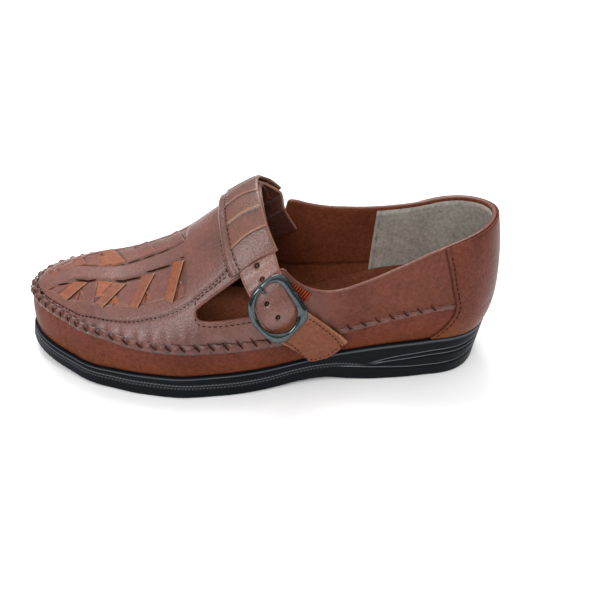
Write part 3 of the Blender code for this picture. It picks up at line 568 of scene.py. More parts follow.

# %% [markdown]
# ## Leather
# Drum-dyed leather is never one flat colour: the dye lies in soft clouds, the pores are darker and the
# polish is uneven. An image of leather would repeat and stretch, so all of it is noise in the space of the
# shoe. Three marks steer it: warm turns the dye towards orange, dark is painted shade in seams, slits,
# holes and undersides and the dark dashes of the heel lining's stitches, and shine is the polish, strong on
# the vamp and strap and weak on the walls.

# %% Leather
def leather(name, base, cloud, warm, polish, pore_mm=0.9, bump=0.3, coat=0.2, dark="#1c0b07"):
    """Grain leather: clouds of dye, mottling, specks, pores of pore_mm, an uneven polish and painted shade by
    the mark dark.
    """
    made, tree, shader = new_material(name, Coat_Roughness=0.32)
    polished = mark(tree, "shine")
    tree.links.new(ramp(tree, polished, 0, 1, 0.0, 0.6), shader.inputs["Specular IOR Level"])
    tree.links.new(ramp(tree, polished, 0, 1, 0.0, coat), shader.inputs["Coat Weight"])
    place = object_place(tree)
    # Scales are per mm: clouds near 30 mm across, mottling near 2 mm, specks just under 1 mm.
    clouds = add(tree, "ShaderNodeTexNoise", None, Vector=place, Scale=0.035, Detail=4.0, Roughness=0.6)
    fine = add(tree, "ShaderNodeTexNoise", None, Vector=place, Scale=0.45, Detail=5.0, Roughness=0.65)
    speck = add(tree, "ShaderNodeTexNoise", None, Vector=place, Scale=1.1, Detail=2.0, Roughness=0.7)
    cells = add(tree, "ShaderNodeTexVoronoi", {"feature": "SMOOTH_F1"}, Vector=place, Scale=1 / pore_mm)
    creases = add(tree, "ShaderNodeTexNoise", None, Vector=place, Scale=0.9 / pore_mm, Detail=3.0)
    colour = mix(tree, ramp(tree, clouds.outputs[0], 0.36, 0.64), linear(base), linear(cloud))
    colour = mix(tree, mark(tree, "warm"), colour, linear(warm))
    mottled, specked = spread(tree, fine, 0.72, 1.24), spread(tree, speck, 0.9, 1.1)
    shade = add(tree, "ShaderNodeMath", {"operation": "MULTIPLY"}, i0=mottled, i1=specked).outputs[0]
    grey = add(tree, "ShaderNodeCombineColor", None, Red=shade, Green=shade, Blue=shade).outputs[0]
    colour = mix(tree, 1.0, colour, grey, "MULTIPLY")
    colour = mix(tree, ramp(tree, cells.outputs[0], 0.05, 0.3, 0.22, 0.0), colour, linear(dark))
    # Painted shade: the mark dark blends in the dark colour; on the heel lining it draws the stitch dashes.
    colour = mix(tree, mark(tree, "dark"), colour, linear(dark))
    tree.links.new(colour, shader.inputs["Base Color"])
    tree.links.new(spread(tree, speck, polish - 0.08, polish + 0.12), shader.inputs["Roughness"])
    height = add(tree, "ShaderNodeMath", {"operation": "ADD"}, i0=cells.outputs[0], i1=creases.outputs[0])
    deep = 0.26 * MM
    soft = add(tree, "ShaderNodeBump", None, Height=height.outputs[0], Strength=bump, Distance=deep)
    tree.links.new(soft.outputs[0], shader.inputs["Normal"])
    return made


# %% [markdown]
# ## Leathers, linings and thread
# All of these are hide or thread, so one recipe serves with other colours, pores and polish. The first
# colour is the dye, the second its clouds and the third its warm tone.

# %% Materials of this shoe
# Calf dyed through in a drum and glazed under a roller: a fine pebbled grain with a wet gleam on the crown.
SKIN = leather("drum_dyed_calf_polished", "#69392e", "#582e25", "#693516", 0.36, bump=0.6)
# The same calf with more glaze, because a strap is handled most: lighter, with sharper highlights.
STRAP_SKIN = leather("drum_dyed_calf_strap", "#7a4a3c", "#633730", "#74401f", 0.32, bump=0.6, coat=0.3)
# Calf cut into strips and antiqued by hand: each strip takes the dye its own way, mauve to orange.
STRIP_SKIN = leather("woven_strip_leather", "#6d3e33", "#5b322b", "#83431c", 0.4, pore_mm=0.7)
# Split hide buffed on the flesh side: a dull nap that swallows light.
LINING = leather("suede_quarter_lining", "#6a3826", "#5a2e1f", "#7c442b", 0.85, pore_mm=0.6, coat=0.0)
# Smooth leather rubbed with a little wax: almost dull, with a faint sheen at low angles.
BED = leather("footbed_leather", "#6d3e2c", "#5f3424", "#7a4630", 0.6, pore_mm=0.8, coat=0.03)
# Pigskin left without dye and sanded: pale grey with darker pores.
HEEL_LINING = leather(
    "unbleached_pigskin_lining", "#a8a399", "#97928a", "#b8b3a8", 0.8, 0.8, coat=0.0, dark="#5d5448"
)
# Twisted thread drawn through wax: darker than the leather and without gleam.
THREAD = leather("waxed_brown_thread", "#3b2019", "#2e1813", "#4a281c", 0.5, pore_mm=0.5, coat=0.0)
# Raw leather deep in a cut: close to black, since little light comes out again.
SLIT = leather("slit_shadow_leather", "#2a120b", "#200d08", "#36190d", 0.7, pore_mm=0.6, coat=0.0)
print("materials", len(bpy.data.materials))

# %% [markdown]
# ## Lines on the apron
# The moccasin seam has its own pitch, the apron has a second, machine-sewn seam inside it, and the weave
# lies in a bed with one uncut strip along its middle. They are tables too, over the distance from the toe
# or over x, so that relief, stitches and strips all read the same lines.

# %% Lines on the apron
# 83 stitches of the moccasin seam go round the shoe, 7.35 mm apart.
PUCKER = ROUND_LENGTH / 83
# Girth in mm for one unit of v beside the seam, and further up on the apron.
SEAM_GIRTH = 38
APRON_GIRTH = 48
# Apron seam: distance from the toe and v.
APRON_SEAM_ROWS = [
    (0, 1.17), (30, 1.17), (50, 1.182), (63.6, 1.242), (71.4, 1.248), (83.2, 1.275), (93.3, 1.308),
    (105.6, 1.341), (114.3, 1.375), (119.6, 1.41), (129, 1.455), (138, 1.52), (150, 1.62),
]
# Woven bed in plan: x, y of its outer margin, y of its inner margin.
WEAVE_ROWS = [
    (-123, -2.0, 9.0), (-118, -5.0, 13.0), (-112, -10.0, 17.6), (-106, -14.4, 21.2), (-100, -17.2, 22.6),
    (-95, -19.2, 23.6), (-88, -22.6, 25.4), (-80, -24.4, 26.0), (-71, -27.0, 25.0), (-63, -27.8, 24.0),
    (-55, -28.6, 22.6), (-47, -30.2, 20.4), (-41, -29.4, 18.6),
]
# Uncut strip along the apron: x and y of its middle, then its half width.
SPINE_ROWS = [
    (-123, 2.6), (-113, 1.6), (-104, 3.4), (-96, 0.4), (-88, -2.6), (-80, -4.4), (-70, -5.2),
    (-58, -4.8), (-50, -5.2), (-40, -6.0),
]
SPINE_HALF = 4.8


def ease(t):
    """0 below 0, 1 above 1 and the smooth cubic between."""
    t = np.clip(t, 0, 1)
    return t * t * (3 - 2 * t)


def hump(d, width):
    """Bell: exp of minus (d / width) squared."""
    return np.exp(-((d / width) ** 2))


def from_toe(s):
    """Distance from the toe tip round either side."""
    d = np.abs(np.mod(s, ROUND_LENGTH) - TOE_TIP)
    return np.minimum(d, ROUND_LENGTH - d)


def apron_seam_v(s):
    """v of the apron seam, from its table over the distance from the toe."""
    return curve(from_toe(s), column(APRON_SEAM_ROWS, 0), column(APRON_SEAM_ROWS, 1))


def spine_y(x):
    """y of the middle of the uncut strip over x."""
    return curve(x, column(SPINE_ROWS, 0), column(SPINE_ROWS, 1))


def weave_bed(x, y):
    """1 inside the woven bed, eased to 0 over 1.5 mm at its margins."""
    xs = column(WEAVE_ROWS, 0)
    outer = curve(x, xs, column(WEAVE_ROWS, 1))
    inner = curve(x, xs, column(WEAVE_ROWS, 2))
    inside = ease((y - outer) / 1.5) * ease((inner - y) / 1.5)
    ends = ease((x - xs[0]) / 3) * ease((xs[-1] - x) / 3)
    spine = ease((np.abs(y - spine_y(x)) - SPINE_HALF) / 1.2)
    return inside * ends * spine


print("stitches of the moccasin seam every", round(PUCKER, 3), "mm")

# %% [markdown]
# ## Relief of the skin
# Leather pulled over a last shows how it was pulled. The relief is added along the outward direction:
# puckers beside the moccasin seam, the groove of the apron seam, a shallow bed under the weave and a few
# soft creases placed one by one where the foot bends. Cloth simulation would place them by chance.

# %% Relief of the skin
# Soft creases: side, x and height of one end and of the other, half width, depth.
CREASE_ROWS = [
    ("outer", -32, 36, -14, 27, 2.6, 0.55), ("outer", -50, 35, -40, 24, 2.4, 0.4),
    ("outer", 42, 47, 58, 33, 3.2, 0.5), ("outer", 60, 56, 76, 44, 3.4, 0.45),
    ("outer", 84, 66, 92, 52, 3.0, 0.4), ("inner", 30, 62, 44, 44, 3.4, 0.5),
    ("inner", 62, 60, 78, 48, 3.4, 0.45), ("inner", -34, 38, -18, 27, 2.6, 0.5),
]


def crease_depth(point, side):
    """Sum of troughs: a smooth bell across each line, fading out at both of its ends."""
    depth = np.zeros(point.shape[:-1])
    for where, x0, z0, x1, z1, half, deep in CREASE_ROWS:
        line = np.array([x1 - x0, z1 - z0], float)
        length = np.linalg.norm(line)
        line /= length
        off_x = point[..., 0] - x0
        off_z = point[..., 2] - z0
        along = (off_x * line[0] + off_z * line[1]) / length
        across = off_x * line[1] - off_z * line[0]
        across = across + 1.2 * np.sin(along * 5.0 + x0)
        fade = ease(along / 0.3) * ease((1 - along) / 0.3)
        bell = hump(across, half) - 0.45 * hump(np.abs(across) - 1.8 * half, half)
        depth += np.where(side == where, deep * fade * bell, 0)
    return depth


def dy_of(s):
    """Sideways part of the spoke: negative on the outer side, positive on the inner side."""
    return spoke(s)[3]


def skin_point(s, v, lift=0.0):
    """Point of the last plus lift times the outward direction."""
    return wall(s, v) + np.asarray(lift)[..., None] * wall_normal(s, v)


def skin_relief(s, v):
    """Lift and marks of the skin: a cosine round the seam under a bell, less groove, bed and creases."""
    point = wall(s, v)
    x, y = point[..., 0], point[..., 1]
    girth = np.abs(v - 1) * SEAM_GIRTH
    puckers = 0.3 * hump(girth - 3.0, 3.6) * np.cos(2 * np.pi * s / PUCKER)
    toe_share = ease((from_toe(s) - 150) / -60)
    seam_off = (v - apron_seam_v(s)) * APRON_GIRTH
    reach = ease((146 - from_toe(s)) / 6)
    groove = reach * np.where(v > 1.02, hump(seam_off, 0.6), 0)
    shelf = reach * 0.35 * ease(seam_off / 1.0)
    bed = np.where(v > 1.05, weave_bed(x, y), 0)
    side = np.where(dy_of(s) > 0, "inner", "outer")
    lift = puckers * (0.6 + 0.4 * toe_share) - 0.4 * groove + shelf - 0.7 * bed
    lift = lift - crease_depth(point, side)
    low = ease((0.85 - v) / 0.9)
    heel = ease((x - 20) / 60) * ease((1.5 - v) / 0.9)
    warm = np.clip(0.55 * low + 0.7 * heel * (v < 1.6) * ease((v - 0.9) / 0.2) + 0.7 * bed, 0, 1)
    # Painted shade: dark in the apron seam's groove, in the bed under the weave and at the foot of the wall
    # by the sole; the lower wall is a little darker towards the bottom.
    dark = np.clip(0.3 * groove + 0.45 * bed + 0.5 * ease((0.1 - v) / 0.12) + 0.1 * low, 0, 1)
    shine = 0.04 + 0.96 * ease((v - 0.85) / 0.25) * (1 - 0.8 * ease((x - 5) / 40))
    return lift, warm, dark, shine


# %% [markdown]
# ## Opening line
# The opening runs round the collar, down into both cut-outs and round their front ends, and the tongue has
# an edge of its own between them. Both are read at even steps of length, so their points don't bunch up.

# %% Opening line
# The roll round the edge adds its own height, so the skin stops this far below the edge of the solid.
ROLL_DROP = 0.9


def topline_curve(places):
    """Stations and v along the opening line, taken through the table at even steps of its own length."""
    known = np.array([station(row[0], row[1]) for row in TOPLINE_ROWS])
    heights = np.array(column(TOPLINE_ROWS, 2))
    heights = heights - ROLL_DROP * ease((heights - 52) / 6)
    gap = np.hypot(np.diff(known), np.diff(heights))
    length = np.concatenate([[0], np.cumsum(gap)])
    at = length[-1] * np.asarray(places)
    s = curve(at, length, known)
    return s, v_at_height(s, curve(at, length, heights))


def tongue_edge(side, places):
    """Stations and v along one side of the tongue, from the tip of the cut-out up to its end."""
    rise = TONGUE_INNER_RISE if side == "inner" else 0.0
    share = np.linspace(0, 1, len(TONGUE_ROWS))
    height = np.array(column(TONGUE_ROWS, 1)) + rise * share**2
    at = np.asarray(places) * (len(TONGUE_ROWS) - 1)
    rows = np.arange(len(TONGUE_ROWS))
    x = curve(at, rows, column(TONGUE_ROWS, 0))
    s = station(side, x)
    return s, v_at_height(s, curve(at, rows, height)), curve(at, rows, column(TONGUE_ROWS, 2))


print("opening line:", len(TOPLINE_ROWS), "known places; edge of the tongue:", len(TONGUE_ROWS))

# %% [markdown]
# ## Patches of the upper
# A shoemaker cuts the upper flat and pulls it over the last. Here four grids lie on the last from the
# start: the wall up to the opening, the closed apron round the toe and the two halves of the tongue. Their
# rows follow the opening line, so its edge is smooth, and shared border points are welded.

# %% Patches of the upper
def upper_patches(step, low_rows, mid_rows, crown_rows):
    """The four patches as grids of (s, v): rows are even shares between the borders of each patch."""
    patches = []
    count = int(430 / step)
    s, top = topline_curve(np.linspace(0, 1, count))
    low = np.linspace(0, 1, low_rows)[:, None]
    high = 1 + np.linspace(0, 1, mid_rows)[1:, None] * (top - 1)
    patches.append((np.repeat(s[None], low_rows + mid_rows - 1, 0), np.concatenate([low + 0 * s, high])))
    tip = TONGUE_ROWS[0]
    ends = [station("inner", tip[0]), station("outer", tip[0]) + ROUND_LENGTH]
    split = [float(v_at_height(ends[0], tip[1])), float(v_at_height(ends[1] - ROUND_LENGTH, tip[1]))]
    s = np.linspace(ends[0], ends[1], int((ends[1] - ends[0]) / step))
    meet = split[0] + (split[1] - split[0]) * (s - ends[0]) / (ends[1] - ends[0])
    low = np.linspace(0, 1, low_rows)[:, None] + 0 * s
    high = 1 + np.linspace(0, 1, mid_rows)[1:, None] * (meet - 1)
    crown = meet + np.linspace(0, 1, crown_rows)[1:, None] * (2 - meet)
    v = np.concatenate([low, high, crown])
    patches.append((np.repeat(s[None], len(v), 0), v))
    for side in ("outer", "inner"):
        edge_s, edge_v, ridge_x = tongue_edge(side, np.linspace(0, 1, int(70 / step)))
        edge_x = spoke(edge_s)[0]
        t = np.linspace(0, 1, crown_rows)[:, None]
        x = edge_x + (ridge_x - edge_x) * t * (2 - t)
        patches.append((station(side, x), edge_v + (2 - edge_v) * t))
    return patches


# Distance between points, and the length of wall, side and crown that it divides.
FINE = 1.02
LEATHER_MM = 1.3
PART_MM = (26, 24, 42)
upper = Patchwork("warm", "dark", "shine")
for s, v in upper_patches(FINE, *(int(part / FINE) for part in PART_MM)):
    lift, warm, dark, shine = skin_relief(s, v)
    upper.add(skin_point(s, v, lift - 0.05), warm=warm, dark=dark, shine=shine)
upper.make("upper_leather", SKIN, ["upper"], weld=0.03, wall_mm=LEATHER_MM)

# %% [markdown]
# ## Linings
# The inside is lined with suede, which could be an offset of the skin. A second set of patches is used
# instead, laid inwards from the last, because it can carry its own marks and stays clear of the relief.

# %% Lining of vamp and quarters
# Depth of the lining below the last, and the v at which linings and counter start above the sole.
LINING_IN = -1.75
LOW_V = 0.02
# Below this height the lining is a smooth band, and a painted shadow line marks its edge.
LINING_SEAM_Z = 39.0
lining = Patchwork("warm", "dark", "shine")
for s, v in upper_patches(1.8, 14, 24, 20):
    deep = ease((20 - spoke(s)[0]) / 40)
    height = wall(s, v)[..., 2]
    band_shadow_line = 0.6 * hump(height - LINING_SEAM_Z, 0.9)
    warm = 0.15 + 0.35 * ease((LINING_SEAM_Z - height) / 2)
    # Painted shade: the lining darkens towards the toe, deep inside the shoe, and a painted shadow line runs
    # along the band's edge.
    dark = np.clip(0.6 * deep + 0.25 * (deep > 0.5) + band_shadow_line, 0, 1)
    lining.add(skin_point(s, np.maximum(v, LOW_V), LINING_IN), warm=warm, dark=dark)
lining.make("quarter_lining", LINING, ["upper"], weld=0.03, wall_mm=0.5)

# %% [markdown]
# ## Heel lining
# A pale pigskin piece covers the suede round the heel, where the foot rubs. It ends in a hem with a row of
# stitches: the hem is a bell along both ends, and the stitches are dark dashes there.

# %% Heel lining
# x of its ends and its distance below the edge of the opening.
HEEL_LINING_X = 66.0
HEEL_LINING_BELOW = 1.5
heel_s = np.linspace(station("outer", HEEL_LINING_X), station("inner", HEEL_LINING_X), 150)
COLLAR = [row for row in TOPLINE_ROWS if row[0] == "heel" or row[1] > 20]
COLLAR_S = [station(row[0], row[1]) for row in COLLAR]


def collar_height(s):
    """Height of the skin's edge from the table of the opening."""
    return curve(s, COLLAR_S, column(COLLAR, 2)) - ROLL_DROP


top = v_at_height(heel_s, collar_height(heel_s) - HEEL_LINING_BELOW)
v = LOW_V + np.linspace(0, 1, 40)[:, None] * (top - LOW_V)
s = np.repeat(heel_s[None], len(v), 0)
near = np.minimum(np.abs(heel_s - heel_s[0]), np.abs(heel_s - heel_s[-1]))[None] + 0 * v
hem = hump(near - 1.2, 0.9) * 0.25
stitched = 0.5 * hump(near - 2.2, 0.35) * (np.sin(2 * np.pi * v * 20) > -0.2)
heel_lining = Patchwork("warm", "dark", "shine")
heel_lining.add(skin_point(s, v, LINING_IN - 0.75 - hem), warm=0.0, dark=stitched)
heel_lining.make("heel_lining", HEEL_LINING, ["upper"], wall_mm=-0.6)

# %% [markdown]
# ## Rolled collar edge
# The leather is turned over a cord round the collar and the cut-outs, so its edge is round and catches
# light. A bevel of the skin would follow its facets, so an oval profile is carried along the line instead.

# %% Collar roll
def sweep(path, out, radius_out, radius_up, sides=10):
    """Oval profile along a path: cos times the outward direction plus sin times the one across it."""
    ahead = unit(np.gradient(path, axis=0))
    up = unit(np.cross(ahead, out))
    out = np.cross(up, ahead)
    turn = np.linspace(0, 2 * np.pi, sides, endpoint=False)
    radius_out = np.broadcast_to(radius_out, len(path))[:, None, None]
    radius_up = np.broadcast_to(radius_up, len(path))[:, None, None]
    across = np.cos(turn)[None, :, None] * out[:, None] * radius_out
    return path[:, None] + across + np.sin(turn)[None, :, None] * up[:, None] * radius_up


def capped(rings, path):
    """Rings with a point at each end, so that a swept piece is closed."""
    first = np.repeat(path[:1, None], rings.shape[1], 1)
    last = np.repeat(path[-1:, None], rings.shape[1], 1)
    return np.concatenate([first, rings, last])


# Middle of the roll below the last, and its half width across the edge.
ROLL_IN = -1.05
ROLL_HALF = 1.2
collar = Patchwork("warm", "dark", "shine")
lines = [(topline_curve(np.linspace(0, 1, 520)), 0.8, 0.25)]
lines += [(tongue_edge(side, np.linspace(0, 1, 120))[:2], 0.75, 0.15) for side in ("outer", "inner")]
for (s, v), half_up, warm in lines:
    path = skin_point(s, v, ROLL_IN)
    rings = sweep(path, wall_normal(s, v), ROLL_HALF, half_up)
    collar.add(capped(rings, path), True, warm=warm, shine=0.7)
collar.make("collar_roll", SKIN, ["upper"])

# %% [markdown]
# ## Woven strips
# The apron is slit along both margins and along the spine, and flat strips are drawn through in two leans.
# What shows of each strip is a flat facet with its own tone: mauve where the dye was polished, orange brown
# where the pale flesh side was turned up. A woven texture could stand for them, but each strip is cut by
# hand and no two are alike, so each has its own four corners.

# %% Corners of the strips
# Corners in plan (x, y): spine front, spine rear, margin rear, margin front. Then lift of the front and of
# the rear edge, tone from 0 mauve to 1 orange, and how light the rear edge is.
OUTER_FACETS = [
    ((-121.5, -1.2), (-113.8, -3.4), (-120.5, -4.6), (-123.5, -2.8), 0.3, 0.9, 0.7, 0.5),
    ((-114.5, -3.6), (-105.5, -5.0), (-113.5, -9.0), (-119.5, -5.4), 0.35, 0.35, 0.05, 0.0),
    ((-104.6, -3.2), (-94.6, -7.0), (-107.0, -14.9), (-113.0, -10.0), 0.3, 1.15, 0.8, 0.8),
    ((-99.6, -8.8), (-96.2, -16.4), (-96.4, -18.6), (-104.6, -16.4), 0.13, 0.42, 0.9, 0.3),
    ((-98.6, -6.6), (-90.0, -7.3), (-91.0, -21.6), (-102.0, -18.4), 0.3, 0.45, 0.0, 0.0),
    ((-91.4, -6.6), (-81.0, -10.2), (-86.0, -18.6), (-90.8, -18.6), 0.14, 0.3, 1.0, 0.0),
    ((-81.4, -10.3), (-72.8, -12.9), (-86.6, -24.6), (-91.8, -21.4), 0.35, 1.2, 0.62, 1.0),
    ((-79.8, -17.0), (-77.4, -22.0), (-76.8, -25.0), (-86.0, -25.2), 0.13, 0.5, 1.0, 0.4),
    ((-77.2, -11.6), (-64.6, -12.4), (-72.4, -27.4), (-81.2, -25.2), 0.3, 0.45, 0.03, 0.0),
    ((-65.8, -9.9), (-57.5, -11.4), (-67.6, -29.0), (-73.2, -27.1), 0.35, 1.2, 0.55, 1.0),
    ((-62.6, -18.8), (-60.4, -24.2), (-59.8, -28.0), (-67.6, -29.0), 0.13, 0.5, 0.75, 0.5),
    ((-61.6, -10.4), (-48.8, -12.0), (-53.2, -28.8), (-64.2, -28.2), 0.3, 0.45, 0.0, 0.0),
    ((-49.0, -8.4), (-42.2, -11.9), (-48.6, -31.4), (-54.0, -28.6), 0.35, 1.2, 0.85, 0.8),
    ((-44.9, -21.4), (-43.4, -24.4), (-40.6, -29.6), (-47.2, -30.4), 0.15, 0.5, 0.3, 0.6),
]
INNER_FACETS = [
    ((-121.0, 6.2), (-113.8, 6.4), (-118.6, 11.4), (-122.4, 10.0), 0.3, 0.8, 0.3, 0.3),
    ((-115.0, 6.2), (-106.0, 8.6), (-109.6, 18.4), (-117.2, 13.2), 0.35, 0.35, 0.1, 0.0),
    ((-107.0, 8.2), (-99.0, 8.4), (-105.6, 22.4), (-111.8, 18.8), 0.3, 1.0, 0.35, 0.4),
    ((-100.4, 8.2), (-90.2, 3.2), (-94.2, 22.8), (-103.6, 20.4), 0.4, 0.4, 0.2, 0.0),
    ((-92.4, 3.4), (-83.2, 3.2), (-90.2, 16.0), (-95.6, 16.0), 0.14, 0.45, 0.9, 0.0),
    ((-84.2, 1.2), (-75.6, 1.2), (-88.8, 26.0), (-94.4, 22.6), 0.3, 1.1, 0.85, 0.5),
    ((-76.4, 1.4), (-66.4, 2.4), (-77.0, 26.2), (-86.4, 25.8), 0.4, 0.4, 0.05, 0.0),
    ((-67.6, 1.7), (-58.7, 1.7), (-67.2, 24.0), (-75.4, 22.6), 0.3, 1.1, 0.1, 0.4),
    ((-59.6, 1.2), (-50.8, 1.4), (-59.2, 24.0), (-66.6, 24.2), 0.4, 0.4, 0.0, 0.0),
    ((-51.8, -0.4), (-42.6, -1.2), (-49.2, 21.0), (-56.6, 20.6), 0.3, 1.1, 0.1, 0.4),
    ((-43.8, 1.4), (-42.0, 2.2), (-40.6, 16.6), (-47.6, 19.2), 0.2, 0.4, 0.0, 0.2),
]
print("strips", len(OUTER_FACETS), "outer and", len(INNER_FACETS), "inner")

# %% [markdown]
# ## Shape of a strip and its slits
# Each facet is a thin closed band between four corners in plan, laid over the last. The leaning strips lie
# on top, and their cut edge stands up and catches the light. Both ends dip into a slit, whose shadow is
# painted as a dark lens a little above the skin, and each curled end carries a painted highlight.

# %% Strip and slit
# Across a facet: place, height over the band's own top, share of cut edge and share of shadow.
PROFILE_U = np.array([0.0, 0.02, 0.2, 0.5, 0.8, 0.965, 0.99, 1.012, 1.0, 0.5, 0.02])
PROFILE_H = np.array([-0.3, 0.0, 0.06, 0.08, 0.05, 0.0, -0.08, -0.5, -1.0, -1.0, -1.0])
PROFILE_EDGE = np.array([0.0, 0.0, 0.0, 0.0, 0.0, 0.05, 0.85, 0.1, 0.0, 0.0, 0.0])
PROFILE_DARK = np.array([0.7, 0.4, 0.0, 0.0, 0.0, 0.0, 0.0, 0.75, 1.0, 1.0, 1.0])
# Depth of the bed a facet lies in, its thickness, and how much deeper its ends dip.
BED_DEEP = 0.55
STRIP_THICK = 0.8
END_DIP = 0.75
# Half length of a slit as a share of its facet's side, and its half width in mm.
SLIT_SHARE = 0.37
SLIT_HALF = 0.38


def pinched(rings):
    """Rings with both ends drawn to the middle of their last ring, which closes the piece."""
    ends = [ring.mean(1, keepdims=True) + 0 * ring for ring in (rings[:1], rings[-1:])]
    return np.concatenate([ends[0], rings, ends[1]])


def with_ends(values):
    """Values of the rings, repeated for the two rings that pinched adds."""
    return np.concatenate([values[:1], values, values[-1:]])


def facet(corners, front, rear, light):
    """Closed band: corners blended both ways, ends dipping into their slits over the last tenth."""
    corners = np.array(corners, float)
    t = np.linspace(0, 1, 22)[:, None]
    u = PROFILE_U[None, :]
    a, b, c, d = (corners[k][:, None, None] for k in range(4))
    x, y = (a * (1 - u) + b * u) * (1 - t) + (d * (1 - u) + c * u) * t
    puff = ease(t / 0.1) * ease((1 - t) / 0.08)
    curl = 0.55 * hump(t - 0.9, 0.06) + 0.15 * hump(t - 0.12, 0.06)
    lift = (front + (rear - front) * u**1.3 + curl) * puff - END_DIP * (1 - puff) - BED_DEEP
    lift = lift + PROFILE_H[None, :] * STRIP_THICK
    rings = pinched(over_plan(x, y, lift)[0])
    edge = np.repeat(PROFILE_EDGE[None] * light, len(t), 0)
    # Painted highlight: the curled end near t = 0.93 takes the pale edge colour.
    edge = edge + 0.3 * hump(t - 0.93, 0.025) * (PROFILE_DARK < 0.5)
    # Painted shade: the shadow shares of the profile, more where the ends dip into their slits, and less on
    # the curled end.
    dark = np.maximum(np.repeat(PROFILE_DARK[None], len(t), 0), 0.85 * (1 - puff) ** 0.7)
    dark = dark * (1 - 0.7 * hump(t - 0.93, 0.035))
    return rings, np.clip(with_ends(edge), 0, 1), np.clip(with_ends(dark), 0, 1)


def slit(near, far, off):
    """Lens between two corners: half width times the root of 1 - t squared, just above the skin."""
    t = np.linspace(-1, 1, 15)[:, None]
    u = np.array([-1.0, 0.0, 1.0])[None, :]
    x = (near[0] + far[0]) / 2 + t * (far[0] - near[0]) * SLIT_SHARE + 0 * u
    y = (near[1] + far[1]) / 2 + t * (far[1] - near[1]) * SLIT_SHARE + off
    y = y + u * SLIT_HALF * np.sqrt(np.maximum(1 - t * t, 0))
    return over_plan(x, y, 0.0 * t + 0.1 * (1 - np.abs(u)))[0]


print("points across a strip", len(PROFILE_U))

# %% [markdown]
# ## Weave
# All strips are gathered in one piece and the painted shadows of all slits in another. The dye of each strip
# drifts a little, as strips from one hide do, and the cut edges take the pale colour of raw leather.

# %% Weave
# Strips whose front edge is lower than this lie in a neighbour's shade and need no slit of their own.
SLIT_FROM = 0.25
facets = Patchwork("warm", "dark", "edge", "shine")
slits = Patchwork("warm", "dark", "shine")
drift = np.random.default_rng(7)
for rows, sign in ((OUTER_FACETS, -1), (INNER_FACETS, 1)):
    for row in rows:
        *corners, front, rear, tone, light = row
        rings, edge, dark = facet(corners, front, rear, light)
        tone = np.clip(tone + drift.uniform(-0.05, 0.05), 0, 1)
        fade = tone * (0.75 + 0.25 * np.linspace(1, 0, rings.shape[0])[:, None] + 0 * edge)
        facets.add(rings, True, warm=np.clip(fade, 0, 1) * (1 - edge), dark=dark, edge=edge, shine=0.75)
        if front >= SLIT_FROM:
            # Painted shade: a dark lens over the slit at each end of the strip.
            slits.add(slit(corners[0], corners[1], -sign * 0.35))
            slits.add(slit(corners[3], corners[2], sign * 0.5))


def with_cut_edge(made, edge_hex):
    """Blends the pale cut edge colour in where the mark edge is set; on the saddle's folds and the strips'
    curled ends this is painted highlight.
    """
    tree = made.node_tree
    shader = tree.nodes["Principled BSDF"]
    under = shader.inputs["Base Color"].links[0].from_socket
    tree.links.new(mix(tree, mark(tree, "edge"), under, linear(edge_hex)), shader.inputs["Base Color"])


with_cut_edge(STRIP_SKIN, "#b58d6c")
facets.make("woven_facets", STRIP_SKIN, ["upper"], weld=0.002)
slits.make("woven_slit_shadows", SLIT, ["upper"], weld=0.0, wall_mm=0.1)

# %% [markdown]
# ## Moccasin seam
# Apron and wall are puckered together with a heavy waxed thread. The seam is a rounded ridge that swells
# between stitches and is pinched at each one. It is one grid laid by girth, so it keeps its width where the
# wall leans, and its height is a half circle times a cosine along the seam.

# %% Seam ridge
# Half width of the ridge, and how far it runs on under the edges of the counter, in mm.
RIDGE_HALF = 3.0
RUN_ON = 4
first_s = station("inner", HEEL_X) - RUN_ON
last_s = ROUND_LENGTH + station("outer", HEEL_X) + RUN_ON
seam_run = np.linspace(first_s, last_s, 1120)
beat = np.cos(2 * np.pi * seam_run / PUCKER)
toe_share = ease((120 - from_toe(seam_run)) / 70)
slim = 1 - 0.4 * ease((spoke(seam_run)[0] - 5) / 45)
tall = slim * (1.0 + 0.4 * toe_share - (0.34 + 0.4 * toe_share) * beat)
across = np.linspace(-1, 1, 15)[None, :]
# The ridge is laid by girth: lengths along v are summed up each section and read at even steps.
steps = np.linspace(0.8, 1.25, 46)
column_points = wall(seam_run[:, None], steps[None, :])
gaps = np.linalg.norm(np.diff(column_points, axis=1), axis=-1)
lengths = np.concatenate([np.zeros((len(seam_run), 1)), np.cumsum(gaps, 1)], 1)
middle = np.array([np.interp(1.0, steps, row) for row in lengths])
slant = 0.9 * across * np.ones_like(middle)[:, None]
want = middle[:, None] + across * RIDGE_HALF * (slim * (1 + 0.1 * beat))[:, None]
v = np.array([np.interp(w, row, steps) for w, row in zip(want, lengths)])
s = seam_run[:, None] + slant
bow = np.sqrt(np.maximum(1 - (across * 0.985) ** 2, 0))
notch = hump(np.mod(s / PUCKER + 0.5, 1) - 0.5, 0.16)
lift = tall[:, None] * bow * (1 - 0.25 * notch) - 0.15
# Painted shade: dark in the pinch at each stitch, most at the ridge's sides where the thread goes in, and
# along the ridge's foot; a little darker all over and more towards the toe.
rim = hump(np.abs(across) - 0.95, 0.12)
dark = 0.75 * notch * np.abs(across) ** 2 + 0.2 * notch + 0.4 * rim + 0.1
dark = dark + 0.15 * toe_share[:, None]
ridge = Patchwork("warm", "dark", "shine")
ridge.add(skin_point(s, v, lift), warm=0.1, dark=np.clip(dark, 0, 1), shine=0.7)
ridge.make("moccasin_ridge", SKIN, ["upper"], wall_mm=0.6)


# %% [markdown]
# ## Whip stitches
# The thread crosses the ridge aslant between two holes, which are painted shade on the ridge. Copies of
# one stitch would float over the curved wall, so every stitch is built at its own place, all of them at once
# as one stack of small grids.

